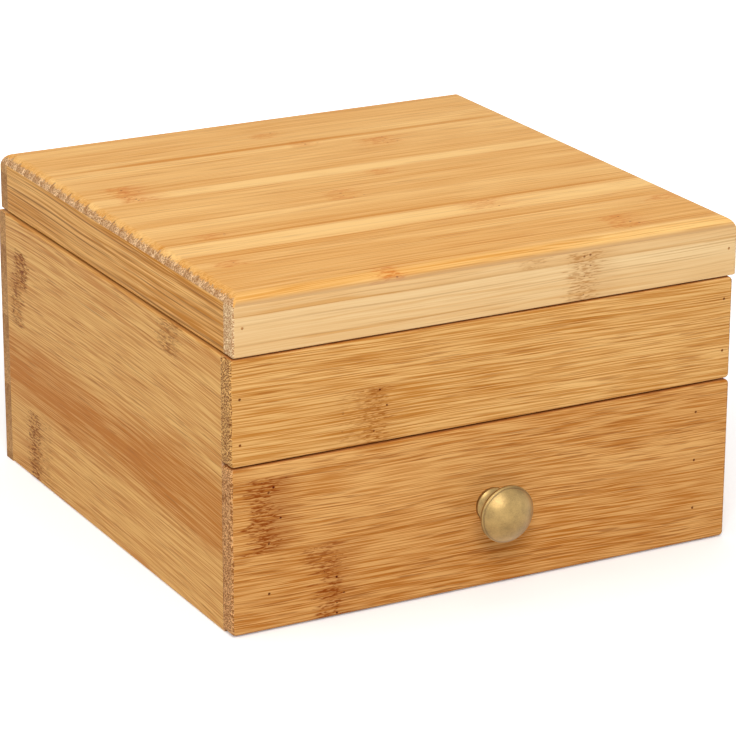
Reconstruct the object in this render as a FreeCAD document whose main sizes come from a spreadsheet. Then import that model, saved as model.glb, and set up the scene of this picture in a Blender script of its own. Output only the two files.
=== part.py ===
"""Small bamboo jewelry box: a case with a compartment tray and one drawer, under a hinged lid with a mirror.

Millimetres. X runs to the right, Y from the front to the back and Z up. The origin is the middle of the
case's footprint, on the table. The box is drawn with its lid and its drawer shut.
"""
import FreeCAD, Part
import os
import re
import Sketcher

V = FreeCAD.Vector
UPRIGHT = FreeCAD.Rotation()
AXIS_TURN = {
    "x": FreeCAD.Rotation(V(0, 1, 0), 90),
    "y": FreeCAD.Rotation(V(1, 0, 0), -90),
    "z": UPRIGHT,
}

doc = FreeCAD.newDocument("jewelry_box")
sizes = doc.addObject("Spreadsheet::Sheet", "sizes")

DIMENSIONS = [
    ("width", 200.0, "case and lid, left to right"),
    ("depth", 200.0, "case and lid, front to back"),
    ("case_height", 100.0, "table to the rim of the case"),
    ("board", 7.0, "thickness of the sides, fronts and backs"),
    ("ease", 1.0, "rounding of the outer edges"),
    ("corner", 1.6, "rounding of the corners of the upper front board and the drawer front"),
    ("inner_ease", 0.5, "rounding of the edges inside the tray and the drawer"),

    ("lid_gap", 0.6, "air between the rim and the shut lid"),
    ("lid_height", 21.4, "lid, from its rim to its top"),
    ("lid_panel", 3.5, "thickness of the lid's top panel"),
    ("lid_round", 5.0, "rounding of the lid's top edges"),
    ("lid_ease", 0.6, "rounding of the lid's lower edges"),
    ("lid_offset", 1.2, "the lid hangs this far to the right of the case"),

    ("bottom_board", 4.0, "thickness of the case bottom"),
    ("tray_ledge", 1.2, "from the lower edge of the upper front board up to the tray floor"),
    ("tray_board", 3.0, "thickness of the tray floor"),
    ("groove", 2.5, "depth of the grooves that hold floors"),
    ("divider", 4.0, "thickness of the tray dividers"),
    ("divider_drop", 8.0, "from the rim of the case down to the tray dividers"),
    ("ring_width", 80.0, "ring section, left to right"),
    ("ring_length", 92.0, "ring section, front to back"),
    ("roll_height", 17.0, "ring rolls, above their felt"),
    ("roll_round", 5.0, "rounding of the ring rolls"),
    ("roll_gap", 0.5, "air round each ring roll"),
    ("felt", 1.0, "thickness of the felt"),
    ("felt_gap", 0.3, "air between a felt sheet's edge and the wood"),

    ("drawer_lift", 0.6, "table to the lower edge of the drawer front"),
    ("drawer_front", 60.6, "height of the drawer front"),
    ("reveal", 0.6, "air above the drawer front"),
    ("seat_gap", 0.2, "air between the drawer front and the case"),
    ("guide", 3.2, "thickness of the drawer guides"),
    ("guide_height", 12.0, "height of the drawer guides"),
    ("slide_gap", 0.3, "running clearance round the drawer"),
    ("drawer_board", 7.0, "thickness of the drawer's sides and back"),
    ("drawer_step", 4.4, "from the top of the drawer front down to its sides and back"),
    ("drawer_end_gap", 7.2, "air behind the shut drawer"),
    ("drawer_floor", 3.0, "thickness of the drawer's bottom"),
    ("floor_lift", 3.0, "from the lower edge of the drawer's sides up to its bottom"),

    ("mirror", 2.0, "thickness of the mirror"),
    ("mirror_gap", 0.2, "air round the mirror"),
    ("bead_width", 7.0, "width of the beads round the mirror"),
    ("bead_height", 4.5, "height of the beads round the mirror"),
    ("bead_lap", 2.0, "how far a bead reaches under the mirror"),
    ("bead_round", 1.5, "rounding of the beads"),

    ("hinge_inset", 40.0, "from the side of the box to the middle of each hinge"),
    ("hinge_length", 24.0, "length of a hinge"),
    ("leaf", 0.8, "thickness of a hinge leaf"),
    ("leaf_reach", 6.0, "width of a hinge leaf on the wood"),
    ("leaf_gap", 0.2, "air between the leaves of a shut hinge"),
    ("barrel", 1.5, "radius of the hinge barrel"),
    ("barrel_gap", 0.3, "air between the barrel and the back of the box"),
    ("knuckle_gap", 0.2, "air between two knuckles"),
    ("pin", 0.6, "radius of the hinge pin"),
    ("pin_play", 0.05, "running clearance round the hinge pin"),
    ("tail", 4.0, "length of the stop tail on a lid leaf, from the pin's axis"),
    ("tail_rise", 5.0, "slope of that tail in degrees, by which the lid opens past upright"),
    ("screw_spread", 15.0, "between the two screws of a leaf"),
    ("screw", 0.8, "radius of a hinge screw"),
    ("screw_head", 1.7, "radius of its head"),
    ("screw_length", 8.0, "length of a hinge screw"),
    ("screw_point", 1.6, "length of its point"),
    ("screw_tip", 0.2, "radius of the blunt end of its point"),
    ("slot_width", 0.4, "slot in its head"),
    ("slot_depth", 0.35, "depth of that slot"),

    ("nail", 0.45, "radius of a brad"),
    ("nail_length", 18.0, "length of a brad"),
    ("nail_point", 0.3, "bevel at a brad's point"),
    ("nail_sink", 0.15, "depth of a brad's head under the surface"),
    ("fastener_gap", 0.05, "clearance of brads and screws in their holes"),
    ("left_nail_low", 7.9, "from the lower edge of the upper front board up to its lower left brad"),
    ("left_nail_high", 14.0, "from the rim of the case down to its upper left brad"),
    ("right_nail_low", 10.9, "from the lower edge of the upper front board up to its lower right brad"),
    ("right_nail_high", 7.8, "from the rim of the case down to its upper right brad"),
    ("back_nail_low", 14.0, "table to the lowest brads of the back panel"),
    ("back_nail_high", 22.0, "from the rim of the case down to the highest brads of the back panel"),
    ("lid_nail_rise", 10.3, "from the lid's rim up to its brads"),
    ("drawer_nail_low", 13.4, "from the lower edge of the drawer front up to the lowest brads"),
    ("drawer_nail_high", 10.2, "from the top of the drawer front down to the highest brads"),

    ("knob_side", 1.4, "the middle of the knob, to the right of the middle of the drawer front"),
    ("knob_radius", 10.5, "rim of the knob"),
    ("knob_rim", 11.0, "from the drawer front to the knob's rim"),
    ("knob_lip", 0.8, "thickness of the knob's rim"),
    ("knob_dome", 5.5, "height of the knob's dome over its rim"),
    ("knob_ease", 0.25, "rounding of the knob's rim and foot"),
    ("knob_foot", 6.4, "radius of the knob's foot"),
    ("foot_edge", 1.2, "thickness of the foot's edge"),
    ("knob_neck", 4.6, "radius of the knob's neck"),
    ("neck_height", 4.8, "from the drawer front to the middle of the neck"),
    ("bolt", 2.0, "radius of the screw that holds the knob"),
    ("bolt_gap", 0.2, "clearance of that screw in the drawer front"),
    ("bolt_reach", 6.5, "how far that screw reaches into the knob"),
    ("bolt_head", 3.6, "radius of its head"),
    ("bolt_head_height", 2.4, "height of its head"),
    ("bolt_slot_width", 0.9, "slot in its head"),
    ("bolt_slot_depth", 1.0, "depth of that slot"),
    ("washer", 5.0, "radius of its washer"),
    ("washer_height", 0.8, "thickness of its washer"),
]
ROLL_COUNT = 6
FRONT_NAIL_ROWS = 2
BACK_NAIL_ROWS = 3
DRAWER_NAIL_ROWS = 3
CROSS_DIVIDERS = 2
NEAR = 0.001  # two coordinates of a shape that are closer than this are the same

for row, (alias, number, meaning) in enumerate(DIMENSIONS, start=1):
    sizes.set("A%d" % row, meaning)
    sizes.set("B%d" % row, str(number))
    sizes.setAlias("B%d" % row, alias)
doc.recompute()

# Planes and axes that several pieces share, as formulas of the cells' names

LEFT, RIGHT = "(-width / 2)", "(width / 2)"
FRONT, BACK = "(-depth / 2)", "(depth / 2)"
INNER_LEFT, INNER_RIGHT = "(-width / 2 + board)", "(width / 2 - board)"
INNER_FRONT, INNER_BACK = "(-depth / 2 + board)", "(depth / 2 - board)"
TABLE = "0"
FRONT_TOP = "(drawer_lift + drawer_front)"
UPPER_LOW = f"({FRONT_TOP} + reveal)"

TRAY_LOW = f"({UPPER_LOW} + tray_ledge)"
TRAY_TOP = f"({TRAY_LOW} + tray_board)"
FELT_TOP = f"({TRAY_TOP} + felt)"
DIVIDER_TOP = "(case_height - divider_drop)"
RING_RIGHT = f"({INNER_LEFT} + ring_width)"
RING_BACK = f"({INNER_FRONT} + ring_length)"
WIDE_LEFT = f"({RING_RIGHT} + divider)"
CROSS_ROOM = f"((depth - 2 * board - {CROSS_DIVIDERS} * divider) / {CROSS_DIVIDERS + 1})"

LID_RIM = "(case_height + lid_gap)"
LID_TOP = f"({LID_RIM} + lid_height)"
PANEL_LOW = f"({LID_TOP} - lid_panel)"
LID_LEFT, LID_RIGHT = f"({LEFT} + lid_offset)", f"({RIGHT} + lid_offset)"
LID_INNER_LEFT, LID_INNER_RIGHT = f"({INNER_LEFT} + lid_offset)", f"({INNER_RIGHT} + lid_offset)"
MIRROR_EDGE = "(bead_width - bead_lap + mirror_gap)"

DRAWER_FACE = f"({FRONT} - seat_gap)"
DRAWER_SHUT = f"({DRAWER_FACE} + board)"
DRAWER_END = f"({INNER_BACK} - drawer_end_gap)"
DRAWER_REAR = f"({DRAWER_END} - drawer_board)"
DRAWER_LEFT = f"({INNER_LEFT} + guide + slide_gap)"
DRAWER_RIGHT = f"({INNER_RIGHT} - guide - slide_gap)"
DRAWER_INNER = (f"({DRAWER_LEFT} + drawer_board)", f"({DRAWER_RIGHT} - drawer_board)")
DRAWER_LOW = "(bottom_board + slide_gap)"
DRAWER_HIGH = f"({FRONT_TOP} - drawer_step)"
DRAWER_FLOOR_LOW = f"({DRAWER_LOW} + floor_lift)"
DRAWER_FLOOR_HIGH = f"({DRAWER_FLOOR_LOW} + drawer_floor)"
KNOB_Z = "(drawer_lift + drawer_front / 2)"

PIN_Y, PIN_Z = f"({BACK} + barrel + barrel_gap)", "(case_height + lid_gap / 2)"
CASE_LEAF_TOP = f"({PIN_Z} - leaf_gap / 2)"
CASE_LEAF_LOW = f"({CASE_LEAF_TOP} - leaf)"
LID_LEAF_LOW = f"({PIN_Z} + leaf_gap / 2)"
LID_LEAF_TOP = f"({LID_LEAF_LOW} + leaf)"
SCREW_Y = f"({BACK} - board / 2)"
HINGES = {"left": f"({LEFT} + hinge_inset)", "right": f"({RIGHT} - hinge_inset)"}


# How a piece is drawn

def cells(text):
    """Points every name in a formula at its cell."""
    return re.sub(r"(?<![a-z_])(?!sin|cos)[a-z_]+", lambda name: "sizes." + name.group(), text)


def worth(text):
    """The number that a formula gives."""
    return float(sizes.evalExpression(cells(text)))


def bind(thing, property_name, text):
    thing.setExpression(property_name, cells(text))


def place(thing, x, y, z, turn=UPRIGHT):
    """Gives a thing a placement whose three coordinates follow the sheet."""
    thing.Placement = FreeCAD.Placement(V(0, 0, 0), turn)
    for letter, text in zip("xyz", (x, y, z)):
        bind(thing, "Placement.Base." + letter, text)


def new_body(name, x="0", y="0", z="0", turn=UPRIGHT, several=False):
    """A body at a corner of its piece. One node may hold several loose solids, such as brads."""
    body = doc.addObject("PartDesign::Body", name)
    body.Label = name
    body.AllowCompound = several
    place(body, x, y, z, turn)
    return body


def new_sketch(body, role="XY_Plane"):
    sketch = body.newObject("Sketcher::SketchObject", body.Name + "_sketch")
    for feature in body.Origin.OriginFeatures:
        if feature.Role == role:
            sketch.AttachmentSupport = (feature, "")
    sketch.MapMode = "FlatFace"
    return sketch


def fix(sketch, kind, where, text):
    """Adds a dimension to a sketch and ties it to the sheet."""
    index = sketch.addConstraint(Sketcher.Constraint(kind, *where, worth(text)))
    bind(sketch, "Constraints[%d]" % index, text)


def draw(sketch, corners, arcs=None):
    """Draws a closed outline through corners that are given as pairs of formulas.

    A side is straight, unless arcs gives it a third point: a pair of formulas for a hollow one, or
    None for a dome whose centre lies on the sketch's own Y axis.
    """
    arcs = arcs or {}
    points = [V(worth(x), worth(y), 0) for x, y in corners]
    count = len(points)
    first = [2 if arcs.get(side) else 1 for side in range(count)]
    for side, start in enumerate(points):
        end = points[(side + 1) % count]
        if side not in arcs:
            sketch.addGeometry(Part.LineSegment(start, end), False)
        elif arcs[side]:
            middle = V(worth(arcs[side][0]), worth(arcs[side][1]), 0)
            sketch.addGeometry(Part.Arc(start, middle, end), False)
        else:
            radius = ((end.y - start.y) ** 2 + start.x ** 2) / (2 * (end.y - start.y))
            centre = V(0, end.y - radius, 0)
            middle = centre + (start + end - centre * 2).normalize() * radius
            sketch.addGeometry(Part.Arc(start, middle, end), False)
    for side in range(count):
        after = (side + 1) % count
        sketch.addConstraint(Sketcher.Constraint("Coincident", side, 3 - first[side], after, first[after]))
    for side, (x, y) in enumerate(corners):
        fix(sketch, "DistanceX", (side, first[side]), x)
        fix(sketch, "DistanceY", (side, first[side]), y)
    for side, middle in arcs.items():
        if middle is None:
            sketch.addConstraint(Sketcher.Constraint("PointOnObject", side, 3, -2))
            continue
        mark = sketch.addGeometry(Part.Point(V(worth(middle[0]), worth(middle[1]), 0)), True)
        fix(sketch, "DistanceX", (mark, 1), middle[0])
        fix(sketch, "DistanceY", (mark, 1), middle[1])
        sketch.addConstraint(Sketcher.Constraint("PointOnObject", mark, 1, side))


def pad(body, sketch, length, reverse=False):
    feature = body.newObject("PartDesign::Pad", body.Name + "_pad")
    feature.Profile = sketch
    feature.Reversed = reverse
    bind(feature, "Length", length)
    doc.recompute()
    return feature


def slab(name, x, y, z):
    """A board between two planes each way, padded from its footprint."""
    body = new_body(name, x[0], y[0], z[0])
    across, along = f"{x[1]} - {x[0]}", f"{y[1]} - {y[0]}"
    sketch = new_sketch(body)
    draw(sketch, [("0", "0"), (across, "0"), (across, along), ("0", along)])
    pad(body, sketch, f"{z[1]} - {z[0]}")
    return body


def add(body, kind, x, y, z, turn=UPRIGHT, **lengths):
    """Adds or cuts a box, cylinder or cone whose corner or foot is given in the frame of the whole box."""
    feature = body.newObject("PartDesign::" + kind, body.Name + "_" + kind)
    corner = {path.strip("."): text for path, text in body.ExpressionEngine}
    feature.Placement = FreeCAD.Placement(V(0, 0, 0), turn)
    for letter, text in zip("xyz", (x, y, z)):
        coordinate = "Placement.Base." + letter
        feature.setExpression(coordinate, f"{cells(text)} - ({corner.get(coordinate, 0)})")
    for property_name, text in lengths.items():
        bind(feature, property_name, text)
    return feature


def cut_box(body, x, y, z):
    """Cuts the space between two planes each way."""
    add(body, "SubtractiveBox", x[0], y[0], z[0], Length=f"{x[1]} - {x[0]}",
        Width=f"{y[1]} - {y[0]}", Height=f"{z[1]} - {z[0]}")


def cut_hole(body, axis, x, y, z, radius, length):
    add(body, "SubtractiveCylinder", x, y, z, AXIS_TURN[axis], Radius=radius, Height=length)


def round_edges(body, radius, chosen):
    """Rounds the edges of the body's last feature that a test picks by their box."""
    base = body.Tip
    names = []
    for number, edge in enumerate(base.Shape.Edges, start=1):
        if chosen(edge.BoundBox):
            names.append("Edge%d" % number)
    feature = body.newObject("PartDesign::Fillet", body.Name + "_round")
    feature.Base = (base, names)
    bind(feature, "Radius", radius)
    doc.recompute()


def ease_face(body, face, run=None):
    """Rounds the edges of one outer face of a board, or only those that run along one direction."""
    letter, high = face[1].upper(), face[0] == "+"
    whole = body.Tip.Shape.BoundBox
    level = getattr(whole, letter + ("Max" if high else "Min"))

    def on_face(box):
        flat = abs(getattr(box, letter + "Min") - level) + abs(getattr(box, letter + "Max") - level) < NEAR
        return flat and (run is None or getattr(box, run.upper() + "Length") > NEAR)

    round_edges(body, "ease", on_face)


def round_corners(body):
    """Rounds the four corners of an upright board that faces front."""
    round_edges(body, "corner", lambda box: box.XLength + box.ZLength < NEAR)


def ease_top(body, run):
    """Rounds the top edges of a board that run along one direction."""
    top = body.Tip.Shape.BoundBox.ZMax
    round_edges(body, "inner_ease",
                lambda box: box.ZMin > top - NEAR and getattr(box, run.upper() + "Length") > NEAR)


def nail_holes(body, places, start, length):
    """Holes for brads that run front to back."""
    for x, z in places:
        cut_hole(body, "y", x, start, z, "nail + fastener_gap", length)


def nails(name, places, head, forward):
    """A set of brads with their heads on one plane, driven to the back or to the front."""
    body = new_body(name, y=head, several=True)
    sketch = new_sketch(body, "XZ_Plane")
    for number, (x, z) in enumerate(places):
        sketch.addGeometry(Part.Circle(V(worth(x), worth(z), 0), V(0, 0, 1), worth("nail")), False)
        fix(sketch, "Radius", (number,), "nail")
        fix(sketch, "DistanceX", (number, 3), x)
        fix(sketch, "DistanceY", (number, 3), z)
    shank = pad(body, sketch, "nail_length", reverse=not forward)
    tip = worth("nail_length") * (-1 if forward else 1)
    points = []
    for number, edge in enumerate(shank.Shape.Edges, start=1):
        box = edge.BoundBox
        if box.YLength < NEAR and abs(box.YMin - tip) < NEAR:
            points.append("Edge%d" % number)
    bevel = body.newObject("PartDesign::Chamfer", name + "_points")
    bevel.Base = (shank, points)
    bind(bevel, "Size", "nail_point")
    doc.recompute()


def pairs(left, right, heights):
    """The places of brads at both ends of a board."""
    return [(x, z) for x in (left, right) for z in heights]


def spread(low, high, count):
    """Even heights from the lowest brad to the highest."""
    return [f"({low} + {row} * ({high} - {low}) / {count - 1})" for row in range(count)]


NAIL_GRIP = "(nail_length + nail_sink - board)"
DRAWER_NAIL_GRIP = "(nail_length + nail_sink - drawer_board)"
CASE_NAIL_X = (f"({LEFT} + board / 2)", f"({RIGHT} - board / 2)")
LID_NAIL_X = (f"({LID_LEFT} + board / 2)", f"({LID_RIGHT} - board / 2)")
DRAWER_NAIL_X = (f"({DRAWER_LEFT} + drawer_board / 2)", f"({DRAWER_RIGHT} - drawer_board / 2)")
LEFT_HEIGHTS = spread(f"({UPPER_LOW} + left_nail_low)", "(case_height - left_nail_high)", FRONT_NAIL_ROWS)
RIGHT_HEIGHTS = spread(f"({UPPER_LOW} + right_nail_low)", "(case_height - right_nail_high)", FRONT_NAIL_ROWS)
BACK_HEIGHTS = spread("back_nail_low", "(case_height - back_nail_high)", BACK_NAIL_ROWS)
DRAWER_HEIGHTS = spread("(drawer_lift + drawer_nail_low)", f"({FRONT_TOP} - drawer_nail_high)",
                        DRAWER_NAIL_ROWS)
UPPER_NAILS = [(CASE_NAIL_X[0], z) for z in LEFT_HEIGHTS] + [(CASE_NAIL_X[1], z) for z in RIGHT_HEIGHTS]
BACK_NAILS = pairs(*CASE_NAIL_X, BACK_HEIGHTS)
LID_NAILS = pairs(*LID_NAIL_X, [f"({LID_RIM} + lid_nail_rise)"])
DRAWER_NAILS = pairs(*DRAWER_NAIL_X, DRAWER_HEIGHTS)


# The case

def side_panel(name, x, outer_face, groove_x, nail_x, front_heights):
    """A full-height side. A groove on its inner face holds the tray floor, and brads grip its ends."""
    body = slab(name, x, (INNER_FRONT, INNER_BACK), (TABLE, "case_height"))
    ease_face(body, outer_face, run="y")
    cut_box(body, groove_x, (INNER_FRONT, INNER_BACK), (TRAY_LOW, TRAY_TOP))
    nail_holes(body, [(nail_x, z) for z in front_heights], INNER_FRONT, NAIL_GRIP)
    nail_holes(body, [(nail_x, z) for z in BACK_HEIGHTS], f"({INNER_BACK} - {NAIL_GRIP})", NAIL_GRIP)


def side_panels():
    left, right = INNER_LEFT, INNER_RIGHT
    side_panel("left_side_panel", (LEFT, left), "-x", (f"({left} - groove)", left), CASE_NAIL_X[0],
               LEFT_HEIGHTS)
    side_panel("right_side_panel", (right, RIGHT), "+x", (right, f"({right} + groove)"), CASE_NAIL_X[1],
               RIGHT_HEIGHTS)


def upper_front_board():
    body = slab("upper_front_board", (LEFT, RIGHT), (FRONT, INNER_FRONT), (UPPER_LOW, "case_height"))
    round_corners(body)
    ease_face(body, "-y")
    cut_box(body, (f"({INNER_LEFT} - groove)", f"({INNER_RIGHT} + groove)"),
            (f"({INNER_FRONT} - groove)", INNER_FRONT), (TRAY_LOW, TRAY_TOP))
    nail_holes(body, UPPER_NAILS, FRONT, "board")


def back_panel():
    body = slab("back_panel", (LEFT, RIGHT), (INNER_BACK, BACK), (TABLE, "case_height"))
    ease_face(body, "+y")
    cut_box(body, (f"({INNER_LEFT} - groove)", f"({INNER_RIGHT} + groove)"),
            (INNER_BACK, f"({INNER_BACK} + groove)"), (TRAY_LOW, TRAY_TOP))
    nail_holes(body, BACK_NAILS, INNER_BACK, "board")
    for x in HINGES.values():
        cut_box(body, (f"({x} - hinge_length / 2)", f"({x} + hinge_length / 2)"),
                (f"({BACK} - leaf_reach)", BACK), (CASE_LEAF_LOW, "case_height"))
        for screw_x in screw_places(x):
            cut_hole(body, "z", screw_x, SCREW_Y, f"({CASE_LEAF_TOP} - screw_length)",
                     "screw + fastener_gap", "screw_length")


def case_floors():
    slab("case_bottom", (INNER_LEFT, INNER_RIGHT), (INNER_FRONT, INNER_BACK), (TABLE, "bottom_board"))
    slab("tray_floor", (f"({INNER_LEFT} - groove)", f"({INNER_RIGHT} + groove)"),
         (f"({INNER_FRONT} - groove)", f"({INNER_BACK} + groove)"), (TRAY_LOW, TRAY_TOP))


def drawer_guides():
    for name, x in (("drawer_guide_left", (INNER_LEFT, f"({INNER_LEFT} + guide)")),
                    ("drawer_guide_right", (f"({INNER_RIGHT} - guide)", INNER_RIGHT))):
        slab(name, x, (INNER_FRONT, INNER_BACK), ("bottom_board", "(bottom_board + guide_height)"))


# The tray

def cross_start(number):
    """The front face of a divider that crosses the wide half of the tray."""
    return f"({INNER_FRONT} + {number} * {CROSS_ROOM} + {number - 1} * divider)"


def felt_sheet(name, x, y, low):
    slab(name, (f"({x[0]} + felt_gap)", f"({x[1]} - felt_gap)"),
         (f"({y[0]} + felt_gap)", f"({y[1]} - felt_gap)"), (low, f"({low} + felt)"))


def tray():
    ring_x, wide_x, high = (INNER_LEFT, RING_RIGHT), (WIDE_LEFT, INNER_RIGHT), (TRAY_TOP, DIVIDER_TOP)
    ease_top(slab("tray_divider_long", (RING_RIGHT, WIDE_LEFT), (INNER_FRONT, INNER_BACK), high), run="y")
    ease_top(slab("tray_divider_ring", ring_x, (RING_BACK, f"({RING_BACK} + divider)"), high), run="x")
    for number in range(1, CROSS_DIVIDERS + 1):
        cross_y = (cross_start(number), f"({cross_start(number)} + divider)")
        ease_top(slab(f"tray_divider_cross_{number}", wide_x, cross_y, high), run="x")
    felt_sheet("felt_ring_section", ring_x, (INNER_FRONT, RING_BACK), TRAY_TOP)
    felt_sheet("felt_left_back", ring_x, (f"({RING_BACK} + divider)", INNER_BACK), TRAY_TOP)
    for number in range(CROSS_DIVIDERS + 1):
        start = f"({INNER_FRONT} + {number} * ({CROSS_ROOM} + divider))"
        felt_sheet(f"felt_right_{number + 1}", wide_x, (start, f"({start} + {CROSS_ROOM})"), TRAY_TOP)


def ring_rolls():
    """Padded rolls side by side, with a slot for the rings between each two."""
    pitch = f"((ring_length - roll_gap) / {ROLL_COUNT})"
    for number in range(ROLL_COUNT):
        start = f"({INNER_FRONT} + roll_gap + {number} * {pitch})"
        body = slab(f"ring_roll_{number + 1}", (f"({INNER_LEFT} + roll_gap)", f"({RING_RIGHT} - roll_gap)"),
                    (start, f"({start} + {pitch} - roll_gap)"), (FELT_TOP, f"({FELT_TOP} + roll_height)"))
        round_edges(body, "roll_round", lambda box: box.YLength < NEAR and box.ZLength < NEAR)


# The drawer

def drawer_front():
    body = slab("drawer_front", (LEFT, RIGHT), (DRAWER_FACE, DRAWER_SHUT), ("drawer_lift", FRONT_TOP))
    round_corners(body)
    ease_face(body, "-y")
    cut_box(body, (f"({DRAWER_INNER[0]} - groove)", f"({DRAWER_INNER[1]} + groove)"),
            (f"({DRAWER_SHUT} - groove)", DRAWER_SHUT), (DRAWER_FLOOR_LOW, DRAWER_FLOOR_HIGH))
    nail_holes(body, DRAWER_NAILS, DRAWER_FACE, "board")
    cut_hole(body, "y", "knob_side", DRAWER_FACE, KNOB_Z, "bolt + bolt_gap", "board")


def drawer_side(name, x, into):
    body = slab(name, x, (DRAWER_SHUT, DRAWER_REAR), (DRAWER_LOW, DRAWER_HIGH))
    ease_top(body, run="y")
    cut_box(body, into, (DRAWER_SHUT, DRAWER_REAR), (DRAWER_FLOOR_LOW, DRAWER_FLOOR_HIGH))
    places = [(f"(({x[0]} + {x[1]}) / 2)", z) for z in DRAWER_HEIGHTS]
    nail_holes(body, places, DRAWER_SHUT, NAIL_GRIP)
    nail_holes(body, places, f"({DRAWER_REAR} - {DRAWER_NAIL_GRIP})", DRAWER_NAIL_GRIP)


def drawer_box():
    left, right = DRAWER_INNER
    drawer_side("drawer_left_side", (DRAWER_LEFT, left), (f"({left} - groove)", left))
    drawer_side("drawer_right_side", (right, DRAWER_RIGHT), (right, f"({right} + groove)"))
    rear = slab("drawer_back", (DRAWER_LEFT, DRAWER_RIGHT), (DRAWER_REAR, DRAWER_END),
                (DRAWER_LOW, DRAWER_HIGH))
    ease_top(rear, run="x")
    floor_x, floor_z = (f"({left} - groove)", f"({right} + groove)"), (DRAWER_FLOOR_LOW, DRAWER_FLOOR_HIGH)
    cut_box(rear, floor_x, (DRAWER_REAR, f"({DRAWER_REAR} + groove)"), floor_z)
    nail_holes(rear, DRAWER_NAILS, DRAWER_REAR, "drawer_board")
    slab("drawer_bottom", floor_x, (f"({DRAWER_SHUT} - groove)", f"({DRAWER_REAR} + groove)"), floor_z)
    felt_sheet("felt_drawer", DRAWER_INNER, (DRAWER_SHUT, DRAWER_REAR), DRAWER_FLOOR_HIGH)


def turned(name, y, corners, arcs=None):
    """A piece turned on the knob's axis. Its outline's Y runs out of the drawer front."""
    body = new_body(name, "knob_side", y, KNOB_Z, FreeCAD.Rotation(V(1, 0, 0), 90))
    sketch = new_sketch(body, "YZ_Plane")
    draw(sketch, corners, arcs)
    feature = body.newObject("PartDesign::Revolution", name + "_turning")
    feature.Profile = sketch
    feature.ReferenceAxis = (sketch, ["V_Axis"])
    feature.Angle = 360
    doc.recompute()
    return body


def knob():
    """A turned mushroom knob: a foot, a waisted neck, a thin rim and a low dome."""
    body = turned("knob", DRAWER_FACE, [
        ("bolt", "0"),
        ("knob_foot", "0"),
        ("knob_foot", "foot_edge"),
        ("knob_radius", "knob_rim - knob_lip"),
        ("knob_radius", "knob_rim"),
        ("0", "knob_rim + knob_dome"),
        ("0", "bolt_reach"),
        ("bolt", "bolt_reach"),
    ], {2: ("knob_neck", "neck_height"), 4: None})
    foot, edge = worth("knob_foot"), worth("foot_edge")
    round_edges(body, "knob_ease", lambda box: box.ZMin > edge - NEAR and box.XMax > foot - NEAR)


def knob_screw():
    """The screw stands in the drawer front with its washer and head inside the drawer."""
    turned("knob_washer", f"({DRAWER_SHUT} + washer_height)", [
        ("bolt + bolt_gap", "0"),
        ("washer", "0"),
        ("washer", "washer_height"),
        ("bolt + bolt_gap", "washer_height"),
    ])
    length = "(bolt_head_height + washer_height + board + bolt_reach - bolt_gap)"
    screw = turned("knob_screw", f"({DRAWER_SHUT} + washer_height + bolt_head_height)", [
        ("0", "0"),
        ("bolt_head", "0"),
        ("bolt_head", "bolt_head_height"),
        ("bolt - fastener_gap", "bolt_head_height"),
        ("bolt - fastener_gap", length),
        ("0", length),
    ])
    slot = screw.newObject("PartDesign::SubtractiveBox", "knob_screw_slot")
    bind(slot, "Length", "2 * bolt_head")
    bind(slot, "Width", "bolt_slot_width")
    bind(slot, "Height", "bolt_slot_depth")
    place(slot, "-bolt_head", "-bolt_slot_width / 2", "0")


# The lid

def lid_blank():
    """The outside of the whole lid. Each of its boards is the share of this block that lies in the board."""
    body = slab("lid_outside", (LID_LEFT, LID_RIGHT), (FRONT, BACK), (LID_RIM, LID_TOP))
    top = worth("lid_height")
    round_edges(body, "lid_round", lambda box: box.ZMin > top - NEAR)
    round_edges(body, "ease", lambda box: box.XLength + box.YLength < NEAR and box.ZMin < NEAR)
    round_edges(body, "lid_ease", lambda box: box.ZMax < NEAR)
    return body


def lid_piece(blank, name, x, y, z, holes=None):
    rough = slab(name + "_rough", x, y, z)
    if holes:
        holes(rough)
    piece = doc.addObject("Part::Common", name)
    piece.Label = name
    piece.Base = rough
    piece.Tool = blank
    doc.recompute()


def lid_back_holes(body):
    nail_holes(body, LID_NAILS, INNER_BACK, "board")
    for x in HINGES.values():
        cut_box(body, (f"({x} - hinge_length / 2)", f"({x} + hinge_length / 2)"),
                (f"({BACK} - leaf_reach)", BACK), (LID_RIM, LID_LEAF_TOP))
        for screw_x in screw_places(x):
            cut_hole(body, "z", screw_x, SCREW_Y, LID_LEAF_LOW, "screw + fastener_gap", "screw_length")


def lid_side_holes(x):
    """Holes for the brads that come through the front and back boards into the end of a side board."""
    def cut(body):
        height = f"({LID_RIM} + lid_nail_rise)"
        nail_holes(body, [(x, height)], INNER_FRONT, NAIL_GRIP)
        nail_holes(body, [(x, height)], f"({INNER_BACK} - {NAIL_GRIP})", NAIL_GRIP)
    return cut


def lid_boards():
    blank = lid_blank()
    wide, deep, high = (LID_LEFT, LID_RIGHT), (INNER_FRONT, INNER_BACK), (LID_RIM, PANEL_LOW)
    lid_piece(blank, "lid_top_panel", wide, (FRONT, BACK), (PANEL_LOW, LID_TOP))
    lid_piece(blank, "lid_front_board", wide, (FRONT, INNER_FRONT), high,
              lambda body: nail_holes(body, LID_NAILS, FRONT, "board"))
    lid_piece(blank, "lid_back_board", wide, (INNER_BACK, BACK), high, lid_back_holes)
    left_x, right_x = (LID_LEFT, LID_INNER_LEFT), (LID_INNER_RIGHT, LID_RIGHT)
    lid_piece(blank, "lid_left_board", left_x, deep, high, lid_side_holes(LID_NAIL_X[0]))
    lid_piece(blank, "lid_right_board", right_x, deep, high, lid_side_holes(LID_NAIL_X[1]))


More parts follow.
